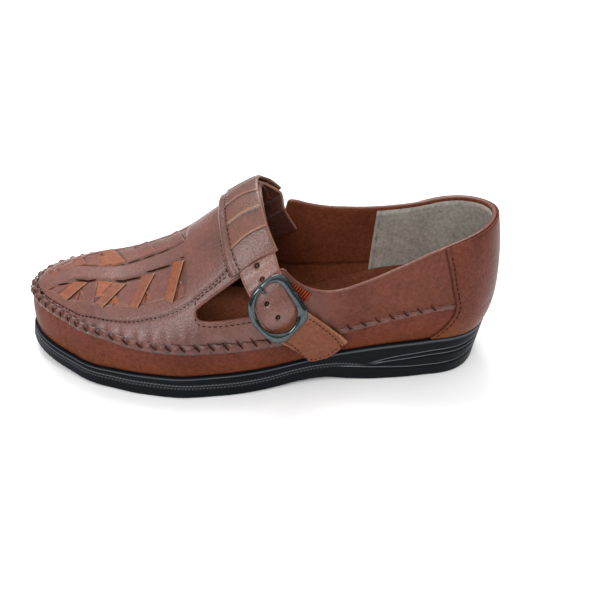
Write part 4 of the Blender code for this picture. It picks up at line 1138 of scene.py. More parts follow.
# %% Whip stitches
def lay_threads(name, start, finish, normal, radius, lift, sag=0.0):
    """Short round stitches from start to finish: a half sine lifts the middle, and the ends dip in."""
    t = np.linspace(0, 1, 7)
    along = start[:, None] + (finish - start)[:, None] * t[None, :, None]
    arch = (np.sin(np.pi * t) * lift - sag)[None, :, None]
    path = along + arch * normal[:, None]
    ahead = unit(finish - start)
    side = unit(np.cross(normal, ahead))
    turn = np.linspace(0, 2 * np.pi, 6, endpoint=False)
    thick = radius * np.sqrt(np.sin(np.pi * np.clip(t, 0.02, 0.98)))[None, :, None, None]
    ring = np.cos(turn)[None, None, :, None] * side[:, None, None]
    ring = ring + np.sin(turn)[None, None, :, None] * normal[:, None, None]
    threads = Patchwork("warm", "dark", "shine")
    threads.add(path[:, :, None] + thick * ring, True)
    threads.make(name, THREAD, weld=0.0)


# Radius of the thread, and how far its middle stands off the ridge's foot, in mm.
WHIP_RADIUS = 0.42
WHIP_LIFT = 1.3
stitch_s = PUCKER * np.arange(int(seam_run[0] / PUCKER) + 1, int(seam_run[-1] / PUCKER))
half_v = RIDGE_HALF / SEAM_GIRTH * np.interp(stitch_s, seam_run, slim)
low_end = skin_point(stitch_s + 2.0, 1 - 0.8 * half_v, 0.35)
high_end = skin_point(stitch_s - 1.9, 1 + 0.74 * half_v, 0.3)
seam_out = wall_normal(stitch_s, 1.0)
lay_threads("moccasin_thread", low_end, high_end, seam_out, WHIP_RADIUS, WHIP_LIFT)

# %% [markdown]
# ## Heel counter
# A separate back piece laps over both quarters and the wall, with one row of stitches behind its edge. It
# could be cut out of the skin, but it is a layer of its own, so it is one more grid a little proud of the
# quarters, thin at its skived edge.

# %% Counter
# Share of the way up, and the reach round from the middle of the heel in mm of s.
COUNTER_ROWS = [
    (0, 60.0), (0.13, 55.2), (0.33, 50.2), (0.5, 49.0), (0.67, 52.6), (0.84, 56.1), (1.0, 59.6),
]
# Distance of its stitches from the edge, and half its length, in mm.
COUNTER_STITCH_IN = 2.4
COUNTER_HALF = 55


def counter_place(up, across):
    """s and v over the counter: its reach grows from the table, half of it under and half over the seam."""
    reach = curve(up, column(COUNTER_ROWS, 0), column(COUNTER_ROWS, 1))
    s = HEEL_CENTRE + reach * across
    top = v_at_height(s, collar_height(s) - 0.2)
    return s, np.where(up <= 0.5, LOW_V + (1 - LOW_V) * 2 * up, 1 + (top - 1) * (2 * up - 1))


up = np.linspace(0, 1, 56)[:, None] + np.zeros((1, 131))
across = np.sin(np.linspace(-1, 1, 131) * np.pi / 2)[None, :] + 0 * up
s, v = counter_place(up, across)
from_edge = (1 - np.abs(across)) * COUNTER_HALF
lift = 1.35 - 0.7 * hump(from_edge, 0.9) - 0.3 * hump(from_edge - COUNTER_STITCH_IN, 0.6)
lift = lift - 0.35 * hump((up - 0.47 - 0.1 * across) * 60, 4) * hump(across + 0.5, 0.2)
warm = np.clip(0.75 * ease((0.42 - up) / 0.35) + 0.1, 0, 1)
counter = Patchwork("warm", "dark", "shine")
# Painted shade along the counter's lapped edge and in the channel of its stitch row.
painted_edge_shade = 0.3 * hump(from_edge - COUNTER_STITCH_IN, 0.5) + 0.7 * hump(from_edge, 0.7)
counter.add(skin_point(s, v, lift), warm=warm, dark=np.clip(painted_edge_shade, 0, 1), shine=0.14)
counter.make("heel_counter_leather", SKIN, ["heel_counter"], wall_mm=1.0)

# %% [markdown]
# ## Stitch rows
# A sewing machine leaves even stitches along an edge. Each one is a short round thread whose ends sink into
# the leather, which keeps its shadow at every angle, where a dashed line in the material would not.

# %% Stitch rows
# Distance of the rows above and below a cut-out from its edge, in v.
TOP_ROW_V = 2.8 / 52
LOW_ROW_V = 2.4 / 90


def stitch_row(name, path, normal, pitch, long, radius=0.28, lift=0.22, sag=0.08):
    """Even stitches along a path: its length is divided by the pitch, and each stitch covers part of it."""
    gaps = np.linalg.norm(np.diff(path, axis=0), axis=1)
    length = np.concatenate([[0], np.cumsum(gaps)])
    centre = np.arange(pitch / 2, length[-1] - pitch / 2, pitch)
    ends = []
    for shift in (-long / 2, long / 2):
        ends.append(np.stack([np.interp(centre + shift, length, path[:, k]) for k in range(3)], -1))
    out = unit(np.stack([np.interp(centre, length, normal[:, k]) for k in range(3)], -1))
    lay_threads(name, ends[0], ends[1], out, radius, lift, sag)


for side, sign in (("outer", -1), ("inner", 1)):
    up = np.linspace(0.03, 0.97, 60)
    reach = curve(up, column(COUNTER_ROWS, 0), column(COUNTER_ROWS, 1)) - COUNTER_STITCH_IN
    s, v = counter_place(up, sign * reach / (reach + COUNTER_STITCH_IN))
    path = skin_point(s, v, 1.1)
    stitch_row(f"counter_stitches_{side}", path, wall_normal(s, v), 3.0, 2.1)
    turn = np.linspace(2, 136, 200)
    s = np.mod(TOE_TIP - sign * turn, ROUND_LENGTH)
    v = apron_seam_v(s)
    stitch_row(f"apron_stitches_{side}", skin_point(s, v, -0.15), wall_normal(s, v), 2.4, 1.7, 0.22)
    places = np.linspace(0.0, 1, 90)
    s, v, _ = tongue_edge(side, places)
    v = v + TOP_ROW_V
    keep = places < 0.62
    path, out = skin_point(s, v, 0.05)[keep], wall_normal(s, v)[keep]
    stitch_row(f"cutout_top_stitches_{side}", path, out, 2.9, 2.0)
ring_s, ring_v = topline_curve(np.linspace(0, 1, 900))
ring_x = spoke(ring_s)[0]
for side in ("outer", "inner"):
    here = (ring_x < 0) & ((dy_of(ring_s) < 0) == (side == "outer"))
    s, v = ring_s[here], ring_v[here] - LOW_ROW_V
    stitch_row(f"cutout_low_stitches_{side}", skin_point(s, v, 0.05), wall_normal(s, v), 2.9, 2.0)

# %% [markdown]
# ## Bands laid on the last
# Strap and saddle are flat bands bent over the instep. A closed profile, level with rounded edges, is
# carried from row to row of a table and laid on the last by girth. A bevelled and bent box would do the
# same, but its width and its lean could not change along the way.

# %% Bands
def band_line(rows, across, along):
    """x and girth over a band: a parabola through front, middle and rear, carried from row to row."""
    place = np.arange(len(rows), dtype=float)
    corner = [[curve(along, place, column(rows, 2 * k + n)) for n in (0, 1)] for k in range(3)]
    weight = ((1 - across) * (1 - 2 * across), 4 * across * (1 - across), across * (2 * across - 1))
    girth = sum(w[None, :] * c[0][:, None] for w, c in zip(weight, corner))
    x = sum(w[None, :] * c[1][:, None] for w, c in zip(weight, corner))
    return x, girth


def stepped(along, values):
    """Values held at each row and eased between rows."""
    i = np.clip(np.floor(along).astype(int), 0, len(values) - 2)
    t = along - i
    values = np.asarray(values, float)
    return values[i] + (values[i + 1] - values[i]) * t * t * (3 - 2 * t)


def band_profile(count, edge):
    """Places across and heights round a flat band: level above and below, rounded at both edges."""
    inner = np.linspace(edge, 1 - edge, count)
    side = np.array([0.15, 0.5, 0.85])
    bend = np.sin(np.pi * side) * edge
    across = np.concatenate([inner, 1 - edge + bend, inner[::-1], edge - bend])
    top = np.concatenate([np.ones(count), 1 - side, np.zeros(count), side])
    return across, top


def band(rows, along, thick, edge, lift, relief, wider=0.0):
    """Closed rings of a band laid on the last: lift, thickness and relief along the outward direction."""
    across, top = band_profile(26, edge)
    x, girth = band_line(rows, across, along)
    x = x + wider * (2 * across - 1)
    point, normal = on_last(x, girth)
    height = lift[:, None] + thick * top[None, :]
    places = [flat + 0 * x for flat in (top[None, :], across[None, :], along[:, None])]
    extra, marks = relief(x, girth, *places)
    height = height + extra
    rings = pinched(point + height[..., None] * normal)
    return rings, {name: with_ends(value) for name, value in marks.items()}


print("points round a band", len(band_profile(26, 0.05)[0]))

# %% [markdown]
# ## Strap
# The strap is two layers of leather stitched together, drawn over the instep, under the saddle and through
# the buckle, with its free end on the outer side. It domes in the buckle's window, and each punched hole is
# a small pit in it.

# %% Strap
# Rows across the strap: girth and x of its front edge, middle and rear edge, then its lift off the last.
STRAP_ROWS = [
    (-104.6, 19.8, -110.4, 30.0, -101.6, 44.3, 1.4), (-100.0, 15.8, -102.5, 27.0, -96.8, 39.8, 1.4),
    (-95.8, 11.6, -93.0, 21.4, -88.4, 31.6, 1.8), (-91.5, 7.8, -84.8, 14.2, -77.6, 21.2, 3.4),
    (-83.6, 0.8, -77.3, 8.4, -70.9, 16.0, 3.7), (-74.3, -4.2, -69.2, 3.5, -64.1, 11.0, 3.7),
    (-65.9, -6.9, -61.5, 0.8, -57.1, 9.0, 3.7), (-57.5, -9.6, -54.2, -1.6, -50.9, 6.3, 2.8),
    (-48.0, -13.1, -44.4, -4.5, -41.4, 4.0, 0.5), (-29.5, -17.5, -27.6, -9.4, -25.6, -1.5, 0.3),
    (-14.8, -18.9, -13.3, -11.2, -11.8, -3.8, 0.3), (0.0, -19.1, 0.0, -11.4, 0.0, -4.2, 0.3),
    (12.0, -18.2, 11.0, -9.8, 10.0, -1.9, 0.3), (24.0, -15.2, 21.0, -6.0, 18.0, 3.2, 0.3),
    (33.5, -11.0, 30.5, -0.4, 26.7, 10.0, 0.3), (43.0, -5.5, 39.5, 3.5, 35.2, 12.5, -4.9),
    (50.0, -2.0, 47.0, 7.0, 43.5, 16.0, -4.9), (58.4, 2.0, 55.2, 11.0, 52.1, 20.0, -4.9),
]
STRAP_THICK = 2.0
# Girth and x of each hole and of the buckle's middle; the strap domes up in the buckle's window.
STRAP_HOLES = [(-45.2, -5.0), (-52.8, -2.6), (-65.2, -0.9), (-74.0, 4.3)]
BUCKLE_X = 4.6
BUCKLE_GIRTH = 69.4
DOME_TALL = 1.5
DOME_WIDE = 8.5


def dome_over(x, girth):
    """Rise of the strap in the window: a bell over the distance from the buckle's middle."""
    return DOME_TALL * hump(np.hypot(x - BUCKLE_X, girth + BUCKLE_GIRTH), DOME_WIDE)


def strap_relief(x, girth, top, across, along):
    """Dome in the window, pits at the holes, a soft channel along the stitch rows of the tail."""
    dome = dome_over(x, girth)
    pits = np.zeros_like(x)
    for hole_girth, hole_x in STRAP_HOLES:
        pits = np.maximum(pits, hump(np.hypot(x - hole_x, girth - hole_girth), 0.95))
    away = np.minimum(across, 1 - across) * 21
    channel = 0.25 * hump(away - 2.2, 0.7) * ease((3.2 - along) / 0.6)
    # Painted shade: dark in the pits of the holes and over the whole underside.
    dark = np.clip(1.2 * pits * (top > 0.5) + 0.55 * (top < 0.5), 0, 1)
    side = np.where((top > 0.05) & (top < 0.95), 0.75, 0.0)
    tail = ease((-girth - 76) / 8)
    marks = {"dark": dark, "warm": 0.12 + 0.5 * tail, "edge": side, "shine": 1 - 0.75 * tail}
    return dome - top * (1.5 * pits + channel), marks


runs = [np.linspace(0, 2, 36)[:-1], np.linspace(2, 13, 170)[:-1], np.linspace(13, 17, 60)]
strap_along = np.concatenate(runs)
strap_lift = stepped(strap_along, column(STRAP_ROWS, 6))
rings, marks = band(STRAP_ROWS, strap_along, STRAP_THICK, 0.045, strap_lift, strap_relief)
strap = Patchwork("warm", "dark", "edge", "shine")
strap.add(rings, True, **marks)
with_cut_edge(STRAP_SKIN, "#9a6b50")
strap.make("strap_leather", STRAP_SKIN, ["strap"], weld=0.002)

# %% [markdown]
# ## Stitches of the strap
# The two layers are sewn together near both edges and across the free end. The rows lie at a tenth of the
# width, where the channel pressed by the machine runs.

# %% Stitches of the strap
for name, place in (("front", 0.1), ("rear", 0.9)):
    rows_at = np.linspace(0.08, 3.6, 60)
    x, girth = band_line(STRAP_ROWS, np.array([place]), rows_at)
    point, normal = on_last(x[:, 0], girth[:, 0])
    over = point + (stepped(rows_at, column(STRAP_ROWS, 6)) + STRAP_THICK - 0.1)[:, None] * normal
    stitch_row(f"strap_stitches_{name}", over, normal, 2.6, 1.9, 0.24)
x, girth = band_line(STRAP_ROWS, np.linspace(0.1, 0.9, 40), np.array([0.3]))
point, normal = on_last(x[0], girth[0])
stitch_row("strap_stitches_end", point + (1.4 + STRAP_THICK - 0.1) * normal, normal, 2.6, 1.9, 0.24)

# %% [markdown]
# ## Punched holes
# The depth of each hole is painted shade. A Boolean would leave ragged faces in the fine strap, so a small
# dark cup stands in each pit: circles of growing radius that sink to a floor.

# %% Punched holes
CUP_RADIUS = np.array([0.0, 0.7, 0.95, 1.15])[:, None, None]
CUP_SINK = np.array([-1.3, -1.2, 0.02, -0.4])[:, None, None]
holes = Patchwork("warm", "dark", "shine")
for hole_girth, hole_x in STRAP_HOLES:
    at, out = on_last(np.array(hole_x), np.array(hole_girth))
    # Row of the strap's table that the hole lies on, read from its girth.
    row_at = np.interp(-hole_girth, [41, 47, 56, 110], [8.3, 7.9, 7.0, 1.5])
    held = float(stepped(np.array([row_at]), column(STRAP_ROWS, 6))[0])
    height = held + STRAP_THICK + dome_over(hole_x, hole_girth)
    level = unit(np.cross(out, [0.0, 1.0, 0.0]))
    turn = np.linspace(0, 2 * np.pi, 18, endpoint=False)[None, :, None]
    across_hole = np.cos(turn) * level + np.sin(turn) * np.cross(out, level)
    # Painted shade: each cup is dark.
    holes.add(at + CUP_RADIUS * across_hole + (height + CUP_SINK) * out, True, dark=0.6)
holes.make("strap_hole_shadows", SLIT, ["strap"], weld=0.0, wall_mm=0.1)

# %% [markdown]
# ## Saddle
# The saddle holds the strap down on the instep. Its leather is laid in flat tucks across the strap, each
# with a raised fold, a painted highlight on it and a painted shadow line under it. The tucks are relief on
# one closed band, because the real ones are pressed flat and sewn, and cloth simulation would puff them up.

# %% Saddle
# Rows across the saddle: girth and x of its front edge, middle and rear edge.
SADDLE_ROWS = [
    (-45.2, -14.6, -42.0, -4.6, -41.4, 5.2), (-36.8, -17.3, -34.6, -7.4, -33.0, 2.2),
    (-25.5, -18.9, -24.2, -9.8, -23.2, -0.3), (-12.4, -19.9, -11.4, -11.0, -10.6, -2.2),
    (0.0, -20.1, 0.0, -11.3, 0.0, -2.6), (12.0, -19.2, 11.0, -9.7, 10.0, -0.3),
    (23.0, -16.6, 20.0, -6.3, 17.0, 4.1), (34.0, -12.6, 29.6, -1.4, 25.4, 9.6),
]
# Thickness, clearance over the strap and widening at both edges, in mm.
SADDLE_THICK = 1.6
SADDLE_CLEAR = 2.8
SADDLE_SPREAD = 0.5
# Girth of each tuck at its front end, middle and rear end.
TUCK_ROWS = [(8.4, 6.1, 8.2), (20.2, 17.7, 17.9), (33.0, 29.0, 27.8)]


def saddle_relief(x, girth, top, across, along):
    """Saw-tooth folds: each rises to its line as an exponential and drops behind it; a gully in front."""
    rise = np.zeros_like(x)
    dark = np.zeros_like(x)
    lip = np.zeros_like(x)
    for sign in (-1, 1):
        for front, mid, rear in TUCK_ROWS:
            line = curve(across, [0, 0.5, 1], [front, mid, rear])
            past = sign * girth - line
            climb = np.exp(np.minimum(past, 0) / 2.2)
            drop = np.exp(-np.maximum(past, 0) / 0.3)
            rise += np.where(past < 0, climb, drop)
            # Painted shadow line just behind each fold, and a soft painted shade further back.
            dark += np.where(past > 0.1, hump(past - 0.5, 0.4), 0) + 0.2 * hump(past - 1.4, 1.2)
            lip += hump(past + 0.35, 0.4)
    away = across * 20
    gully = 0.45 * hump(away - 1.3, 0.7)
    fade = ease((across - 0.04) / 0.1) * (0.4 + 0.6 * ease((1 - across) / 0.2))
    # Painted highlight on the fold lips, sent to the mark edge; painted shade in the gully by the front edge
    # and over the whole underside.
    light = np.clip(lip * fade, 0, 0.6)
    dark = np.clip(0.8 * dark * fade + 0.3 * hump(away - 1.3, 0.6), 0, 1)
    dark = np.where(top > 0.5, dark, 0.5)
    edge = np.where((top > 0.05) & (top < 0.95), 0.45, light)
    warm = 0.25 * ease((-girth - 8) / 10) * ease((34 + girth) / 8) + 0.1
    return top * (0.7 * rise * fade - gully), {"dark": dark, "warm": warm, "edge": edge}


saddle_along = np.linspace(0, len(SADDLE_ROWS) - 1, 240)
saddle_lift = np.full(len(saddle_along), SADDLE_CLEAR - 0.3)
sizes = (SADDLE_THICK, 0.05, saddle_lift)
rings, marks = band(SADDLE_ROWS, saddle_along, *sizes, saddle_relief, SADDLE_SPREAD)
# Glazed calf pressed over its folds: a browner tone; the gleams along the raised lines are partly painted
# highlight.
SADDLE_SKIN = leather("drum_dyed_calf_saddle", "#64392e", "#552f26", "#6f4026", 0.34, bump=0.5)
with_cut_edge(SADDLE_SKIN, "#9a6b50")
saddle = Patchwork("warm", "dark", "edge", "shine")
saddle.add(rings, True, shine=0.9, **marks)
saddle.make("saddle_leather", SADDLE_SKIN, ["saddle"], weld=0.002)

# %% [markdown]
# ## Saddle's front fold
# The front edge is turned down to the vamp over a cord: a bead that falls from the top of the saddle to the
# skin, as a quarter of a rounded square, with a stitch row at its foot and one behind it.

# %% Saddle's front fold
# Length of the fold from the saddle's edge to the vamp.
FOLD_LONG = 3.6
along = np.linspace(0, len(SADDLE_ROWS) - 1, 200)
u = np.linspace(0, 1, 18)
x, girth = band_line(SADDLE_ROWS, np.array([0.0]), along)
fold_x = x + FOLD_LONG * (u[None, :] ** 1.5 - 1) + 0.9 * u[None, :] ** 6
point, normal = on_last(fold_x, girth + 0 * fold_x)
rise = (SADDLE_CLEAR + SADDLE_THICK - 0.55) * (1 - (1 - u) ** 2.6) ** 0.8
height = rise + 0.35 * hump(u - 0.62, 0.22) - 0.2 * hump(u - 1, 0.12)
fold = Patchwork("warm", "dark", "edge", "shine")
top = point + height[None, :, None] * normal
low = point[:, ::-1] + 0.02 * normal[:, ::-1]
shade = 0.5 * hump(u, 0.1) + 0.35 * hump(u - 1, 0.12)
shades = np.concatenate([shade, 0 * shade + 1])[None, :] + 0 * along[:, None]
rings = pinched(np.concatenate([top, low], 1))
fold.add(rings, True, warm=0.1, dark=with_ends(shades), shine=0.9)
fold.make("saddle_front_fold", SADDLE_SKIN, ["saddle"], weld=0.002)
foot, foot_out = on_last(x[:, 0] - FOLD_LONG - 0.5, girth[:, 0])
stitch_row("saddle_stitches_front", foot + 0.1 * foot_out, foot_out, 2.7, 1.9, 0.24)
x, girth = band_line(SADDLE_ROWS, np.array([0.07]), along)
back, back_out = on_last(x[:, 0], girth[:, 0])
back = back + (SADDLE_CLEAR + SADDLE_THICK - 0.5) * back_out
stitch_row("saddle_stitches_rear", back, back_out, 2.7, 1.9, 0.24)

# %% [markdown]
# ## Buckle
# The buckle is die cast zinc with a dark plating: an uneven ring, thin at the front and broad at the rear.
# Its two radii are tables over the angle, since no circle or rounded square has this outline.

# %% Buckle
# Turn of the buckle about its middle in degrees, height of the ring's underside and its thickness.
BUCKLE_TURN = 53.5
FRAME_LOW = 6.35
FRAME_TALL = 2.6
# Angle, outer radius, inner radius.
FRAME_ROWS = [
    (-180, 14.9, 12.0), (-150, 15.6, 12.1), (-120, 16.2, 12.9), (-90, 16.6, 14.2), (-75, 17.4, 14.7),
    (-60, 18.5, 14.3), (-45, 17.9, 12.0), (-30, 14.8, 9.8), (-15, 12.7, 8.6), (0, 12.5, 8.1),
    (15, 12.7, 8.2), (30, 13.6, 8.8), (45, 15.4, 9.6), (60, 16.2, 10.4), (75, 15.6, 11.4),
    (90, 15.7, 12.4), (105, 16.8, 13.2), (120, 18.3, 13.2), (130, 18.6, 13.1), (145, 17.2, 13.1),
    (160, 15.7, 12.6), (180, 14.9, 12.0),
]


def buckle_axes():
    """Foot of the buckle's plane and its directions: across the strap, down the strap and off the wall."""
    foot, h = on_last(np.array(BUCKLE_X), np.array(-BUCKLE_GIRTH))
    level = unit(np.array([1.0, 0.0, 0.0]) - h * h[0])
    down = np.cross(h, level)
    down *= -np.sign(down[2])
    turn = np.radians(BUCKLE_TURN)
    b = np.cos(turn) * level + np.sin(turn) * down
    a = np.cross(b, h)
    return foot, a * np.sign(a[0]), b, h


def from_buckle(a_mm, b_mm, h_mm):
    """Point a, b and h mm along the buckle's three directions."""
    foot, a, b, h = buckle_axes()
    a_mm, b_mm, h_mm = np.broadcast_arrays(a_mm, b_mm, h_mm)
    return foot + a_mm[..., None] * a + b_mm[..., None] * b + h_mm[..., None] * h


# Zinc polished in a drum and plated with black nickel: a dark mirror with a faint cloud in it.
PLATED, tree, shader = new_material("gunmetal_plated_zinc", Metallic=1.0)
cloudy = add(tree, "ShaderNodeTexNoise", None, Vector=object_place(tree), Scale=0.5, Detail=3.0)
plate = mix(tree, cloudy.outputs[0], linear("#363c3f"), linear("#5d6568"))
tree.links.new(plate, shader.inputs["Base Color"])
tree.links.new(spread(tree, cloudy, 0.05, 0.1), shader.inputs["Roughness"])
angle = np.linspace(-180, 180, 200, endpoint=False)
outer = curve(angle, column(FRAME_ROWS, 0), column(FRAME_ROWS, 1))
inner = curve(angle, column(FRAME_ROWS, 0), column(FRAME_ROWS, 2))
turn = np.radians(angle)[:, None]
round_it = np.radians(np.linspace(0, 360, 20, endpoint=False))[None, :]
r = ((outer + inner) / 2)[:, None] + ((outer - inner) / 2)[:, None] * np.cos(round_it)
h = FRAME_LOW + FRAME_TALL / 2 + FRAME_TALL / 2 * np.sin(round_it) * (1 - 0.12 * np.cos(round_it)) + 0 * r
ring = from_buckle(r * np.cos(turn), r * np.sin(turn), h)
buckle = Patchwork("warm")
buckle.add(np.concatenate([ring, ring[:1]]), True)
buckle.make("buckle_ring", PLATED, ["buckle_frame"])


# %% [markdown]
# ## Prong and bar
# The prong is wire bent round the bar and resting on the ring, and the bar is a plain rod under the strap.
# Both are a round profile carried along a line in the axes of the buckle.

# %% Prong and bar
# Prong: place along the buckle and height off the wall. Then the radius of prong and bar.
PRONG_ROWS = [
    (1.6, 2.1), (1.2, 1.3), (0.2, 1.0), (-0.9, 1.4), (-1.7, 2.7), (-5.5, 2.4), (-9.6, 1.9), (-11.2, 2.5),
    (-11.9, 4.4), (-12.1, 7.0), (-12.6, 9.2), (-14.0, 9.9), (-16.0, 9.9), (-17.6, 9.5),
]
WIRE_RADIUS = 0.75
# Place of the prong along the bar, both ends of the bar, and its height off the wall.
PRONG_AT = -0.7
BAR_ENDS = (-13.0, 9.8)
BAR_HEIGHT = 2.7


def wire(name, a, b, h, radius, nodes):
    """Round wire along a smooth curve through points of the buckle's own axes."""
    along = np.linspace(0, len(b) - 1, 60)
    places = np.arange(len(b))
    path = from_buckle(a + 0 * along, curve(along, places, b), curve(along, places, h))
    rings = sweep(path, np.repeat(buckle_axes()[1][None], len(path), 0), radius, radius, 12)
    made = Patchwork("warm")
    made.add(capped(rings, path), True)
    made.make(name, PLATED, nodes)


wire("prong_wire", PRONG_AT, column(PRONG_ROWS, 0), column(PRONG_ROWS, 1), WIRE_RADIUS, ["buckle_prong"])
bar_a = np.linspace(*BAR_ENDS, 30)
bar_path = from_buckle(bar_a, 0 * bar_a, BAR_HEIGHT + 0 * bar_a)
bar_out = np.repeat(buckle_axes()[3][None], len(bar_path), 0)
bar_rings = sweep(bar_path, bar_out, WIRE_RADIUS, WIRE_RADIUS, 12)
bar = Patchwork("warm")
bar.add(capped(bar_rings, bar_path), True)
bar.make("buckle_bar", PLATED, ["buckle_frame"])

# %% [markdown]
# ## Elastic gore
# A short piece of ribbed elastic lets the quarter give when the foot goes in. Its ribs are a cosine across
# a grid between its front and rear edge, thickened into a thin sheet.

# %% Gore
# Number of ribs. Then rows: girth and x of the front edge, middle and rear edge.
GORE_RIBS = 8.5
GORE_ROWS = [(-59.6, 12.4, -64.6, 17.9, -69.6, 23.4), (-65.6, 6.4, -70.8, 11.6, -75.8, 16.8)]
# Rubber thread braided over with dyed yarn: dull and orange on the ribs, with painted shade between them.
ELASTIC = leather("ribbed_elastic_braid", "#7a3322", "#5f2519", "#a5492a", 0.8, pore_mm=0.5, coat=0.0)
along = np.linspace(0, 1, 30)
x, girth = band_line(GORE_ROWS, np.linspace(0, 1, 110), along)
point, normal = on_last(x, girth)
ribs = np.cos(2 * np.pi * GORE_RIBS * np.linspace(0, 1, 110))[None, :] + 0 * x
gore = Patchwork("warm", "dark", "shine")
gore.add(point + (0.9 + 0.35 * ribs)[..., None] * normal, warm=0.5 + 0.4 * ribs, dark=0.3 - 0.3 * ribs)
gore.make("gore_elastic", ELASTIC, ["elastic_gore"], wall_mm=0.6)

# %% [markdown]
# ## Footbed
# The footbed is a board covered in brown leather and cupped at the heel. Rings at even shares of the way in
# from its edge are laid on the sole's top, each with its own lift, so that it follows the last's bottom.

# %% Footbed
# x, lift off the sole and depth of the cup.
INSOLE_ROWS = [
    (-136, 3.2, 0.6), (-90, 3.6, 0.8), (-40, 4.2, 1.2), (0, 5.4, 3.0), (40, 6.4, 4.6), (134, 6.4, 4.6),
]
# Gap between the board's rim and the wall of the upper.
INSOLE_GAP = 0.7
s = np.linspace(0, ROUND_LENGTH, 300)
x, _, dx, _ = spoke(s)
edge, edge_x = sole_edge(s)
reach = edge - sole_value(edge_x, 3) - WALL_STEP_IN - UPPER_WALL - INSOLE_GAP


def ring_grid(rows, s):
    """Points at radius r along every spoke and at height z, one ring for each (r, z)."""
    x, y, dx, dy = spoke(s)
    return np.stack([np.stack([x + r * dx, y + r * dy, z + 0 * x], -1) for r, z in rows])


def bed_ring(share, drop=None):
    """Radius and height of a ring: sole top plus lift plus a cup that grows with the fifth power."""
    r = share * reach
    at = x + r * dx
    lift = curve(at, column(INSOLE_ROWS, 0), column(INSOLE_ROWS, 1))
    cup = curve(at, column(INSOLE_ROWS, 0), column(INSOLE_ROWS, 2)) * share**5
    height = sole_value(at, 2) + lift + cup
    if drop is None:
        return r, height
    return r, np.maximum(height - drop, sole_value(at, 2) + 0.4)


under = ((0.0, 6), (0.99, 4), (1.0, 0.8), (0.992, 0.2), (0.975, 0.0))
rows = [bed_ring(share, drop) for share, drop in under]
rows += [bed_ring(share) for share in np.linspace(0.96, 0, 26)]
footbed = Patchwork("warm", "dark", "shine")
footbed.add(ring_grid(rows, s))
footbed.make("footbed_board", BED, ["insole"])

# %% [markdown]
# ## Rubber
# The sole is shot into a mould whose walls are etched, so its skin is a fine, dull grain. Light grey is
# painted as highlight on the lips of its grooves and along its top edge, and a mark on the points says where
# it lies.

# %% Rubber
# Rubber shot into an etched steel mould: nearly black and a dull grain, with painted highlights in light
# grey.
UNIT, tree, shader = new_material("moulded_rubber_black", Specular_IOR_Level=0.07)
place = object_place(tree)
grain = add(tree, "ShaderNodeTexNoise", None, Vector=place, Scale=1.6, Detail=4.0)
cloud = add(tree, "ShaderNodeTexNoise", None, Vector=place, Scale=0.03, Detail=3.0)
base = mix(tree, cloud.outputs[0], linear("#080a0e"), linear("#12161c"))
highlighted = mix(tree, mark(tree, "rub"), base, linear("#8d949d"))
tree.links.new(highlighted, shader.inputs["Base Color"])
tree.links.new(spread(tree, grain, 0.34, 0.52), shader.inputs["Roughness"])
cast = add(tree, "ShaderNodeBump", None, Height=grain.outputs[0], Strength=0.22, Distance=0.2 * MM)
tree.links.new(cast.outputs[0], shader.inputs["Normal"])
print("rubber", UNIT.name)

# %% [markdown]
# ## Sole
# The sole is one moulded unit: a plain side with one rope-like groove round the forepart and three grooves
# that wrap the heel block. Rings run from the middle of the underside out, up the side and back in over the
# top. The grooves are bells over height taken off the radius, so a groove needs no cut.

# %% Sole
# Rounding of the lower edge, pitch of the rope pattern and x at which the forepart's groove has run out.
SOLE_ROUND = 1.4
ROPE_PITCH = 1.9
FORE_END = 58
# Lines moulded in the side: x and height.
FORE_LINE = [
    (-136, 12.0), (-120, 9.4), (-105, 8.0), (-60, 7.4), (0, 8.0), (22, 10.4), (44, 10.9), (60, 9.6),
]
HEEL_LINES = [
    [(40, 9.0), (60, 8.5), (90, 7.5), (134, 10.5)],
    [(58, 10.5), (70, 12.4), (90, 14.6), (134, 16.9)],
    [(56, 10.8), (70, 14.8), (90, 17.6), (134, 20.3)],
]
s = np.linspace(0, ROUND_LENGTH, 1100)
x, _, dx, _ = spoke(s)
edge, edge_x = sole_edge(s)
low = sole_value(edge_x, 1)
high = sole_value(edge_x, 2)
inset = sole_value(edge_x, 3)
rows, rubs = [], []
for share in np.linspace(0, 0.97, 12):
    r = share * (edge - SOLE_ROUND)
    rows.append((r, sole_value(x + r * dx, 1)))
    rubs.append(0 * x)
for turn in np.radians(np.linspace(0, 80, 5)):
    rows.append((edge - SOLE_ROUND + SOLE_ROUND * np.sin(turn), low + SOLE_ROUND * (1 - np.cos(turn))))
    rubs.append(0 * x)
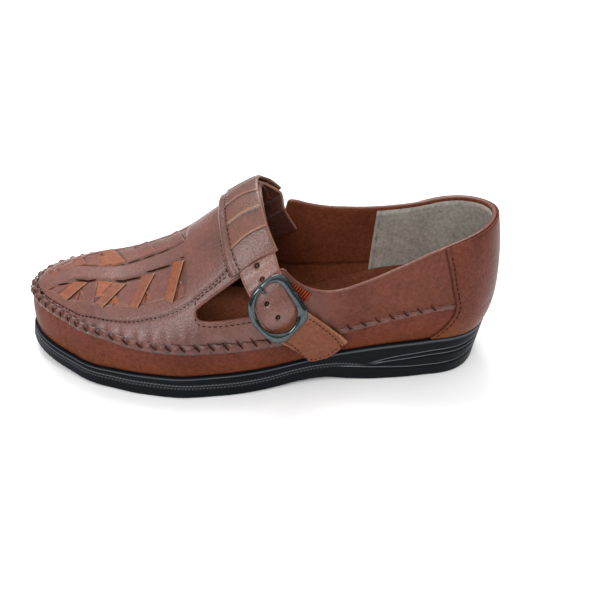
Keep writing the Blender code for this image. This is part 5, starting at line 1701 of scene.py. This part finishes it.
for share in np.linspace(0, 1, 64)[1:-1]:
    z = low + SOLE_ROUND + (high - 0.6 - low - SOLE_ROUND) * share
    # The side leans in slowly over its lower 0.4 and faster above it.
    slow, fast = 0.35 * inset * share / 0.4, inset * (0.35 + 0.65 * (share - 0.4) / 0.6)
    r = edge - np.where(share < 0.4, slow, fast)
    fore = curve(edge_x, column(FORE_LINE, 0), column(FORE_LINE, 1))
    fore_on = ease((FORE_END - edge_x) / 10)
    rope = 0.6 + 0.4 * np.cos(2 * np.pi * s / ROPE_PITCH)
    cut = 0.5 * fore_on * hump(z - fore, 0.55) * rope
    # Painted highlight: light grey on the lips just above and below the forepart's groove, dotted by the
    # rope.
    above = 0.55 * hump(z - fore - 0.7, 0.4) * rope
    rub = fore_on * (above + 0.3 * hump(z - fore + 0.8, 0.4) * (1 - rope))
    for line in HEEL_LINES:
        at = curve(edge_x, column(line, 0), column(line, 1))
        on = ease((edge_x - line[0][0]) / 8)
        cut = cut + 0.75 * on * hump(z - at, 0.55)
        # Painted highlight on the lip above each heel groove.
        rub = rub + 0.8 * on * hump(z - at - 0.75, 0.35)
    # Painted highlight along the top edge of the side as well.
    upper_edge = ease((share - 0.93) / 0.05)
    cut = cut + 0.3 * hump(share - 0.9, 0.03)
    rows.append((r - cut, z))
    rubs.append(np.clip(rub + 0.25 * upper_edge, 0, 1))
for rim in (0.2, 0.6, 1.6, 4.0):
    rows.append((edge - inset - rim, high - (0.25 if rim < 0.3 else 0.0)))
    rubs.append(0 * x)
rows.append((0 * edge, sole_value(x, 2)))
rubs.append(0 * x)
sole = Patchwork("rub")
sole.add(ring_grid(rows, s), rub=np.stack(rubs))
sole.make("sole_unit", UNIT, ["unit_sole"])

# %% [markdown]
# ## Floor and surround
# A catalogue picture is taken on a roll of white paper in a light tent. A pale floor runs into a pale
# surround. The floor isn't part of the shoe, so it is only staged.

# %% Floor and surround
# Uncoated paper off the roll: matt white with the faintest cloud.
FLOOR_MAT, tree, shader = new_material("matt_white_paper", Roughness=0.9)
paper = add(tree, "ShaderNodeTexNoise", None, Vector=object_place(tree), Scale=0.02)
white = mix(tree, paper.outputs[0], linear("#f4f4f4"), linear("#fafafa"))
tree.links.new(white, shader.inputs["Base Color"])
# Half the width of the floor in metres.
HALF = 6.0
corners = [(-HALF, -HALF, 0), (HALF, -HALF, 0), (HALF, HALF, 0), (-HALF, HALF, 0)]
floor_mesh = bpy.data.meshes.new("floor")
floor_mesh.from_pydata(corners, [], [(0, 1, 2, 3)])
floor_mesh.materials.append(FLOOR_MAT)
floor = bpy.data.objects.new("floor", floor_mesh)
bpy.context.scene.collection.objects.link(floor)
world = bpy.data.worlds.new("surround")
bpy.context.scene.world = world
world.use_nodes = True
sky = world.node_tree
# The surround is bright overhead and dims towards the horizon, as a soft box over a table does.
direction = add(sky, "ShaderNodeTexCoord").outputs["Generated"]
upward = add(sky, "ShaderNodeSeparateXYZ", None, Vector=direction).outputs[2]
level = ramp(sky, upward, 0.05, 0.8, 0.2, 1.3)
sky.links.new(level, sky.nodes["Background"].inputs["Strength"])
sky.nodes["Background"].inputs["Color"].default_value = (1.0, 1.0, 1.0, 1.0)
bpy.context.scene.view_settings.view_transform = "Standard"


print("floor", 2 * HALF, "m wide, view", bpy.context.scene.view_settings.view_transform)

# %% [markdown]
# ## Lights
# One broad soft box stands above and behind the shoe and gives the long gleams on crown and strap. A
# weaker one in front opens the shadows of the near side. Small lamps would give hard, black shadows.

# %% Lights
def stand(thing, at, right, up, forward):
    """Puts a light or camera at a point: the columns of its matrix are right, up and minus forward."""
    rows = [[right[k], up[k], -forward[k], at[k]] for k in range(3)]
    thing.matrix_world = Matrix(rows + [[0, 0, 0, 1]])
    bpy.context.scene.collection.objects.link(thing)
    print(thing.name, "at", [round(float(value), 3) for value in at])


def area_light(name, place, target, size, power):
    """Rectangular light at a place in metres, its face square to the line to the target."""
    light = bpy.data.lights.new(name, "AREA")
    light.shape = "RECTANGLE"
    light.size, light.size_y = size
    light.energy = power
    lamp = bpy.data.objects.new(name, light)
    aim = unit(np.array(target, float) - np.array(place, float))
    right = unit(np.cross(aim, [0, 0, 1.0]))
    stand(lamp, place, right, np.cross(right, aim), aim)


area_light("soft_top", (-0.1, 0.5, 0.9), (0, 0, 0.03), (0.7, 0.45), 8.0)
area_light("soft_front", (-0.45, -0.9, 0.7), (0, 0, 0.03), (0.6, 0.35), 5.0)

# %% [markdown]
# ## Camera
# The camera stands where the photograph was taken. Its place, its directions and its focal length come from
# the size and perspective of the sole's outline, so the picture can be laid over the photograph.

# %% Camera
# Focal length and width of the photograph in pixels, and the sensor's width in mm.
FOCAL_PX = 610.11
PHOTO_PX = 600
SENSOR_MM = 36.0
# Place in mm, then the directions right, up and forward.
CAMERA_AT = np.array([-12.24, -290.04, 237.09])
CAMERA_AXES = np.array([[0.9956, -0.0826, 0.0443], [0.0118, 0.5794, 0.8150], [0.0930, 0.8109, -0.5778]])
lens = bpy.data.cameras.new("camera")
lens.sensor_width = SENSOR_MM
lens.lens = SENSOR_MM * FOCAL_PX / PHOTO_PX
lens.clip_start = 0.01
camera = bpy.data.objects.new("camera", lens)
stand(camera, (CAMERA_AT + SHIFT) * MM, *CAMERA_AXES)
bpy.context.scene.camera = camera
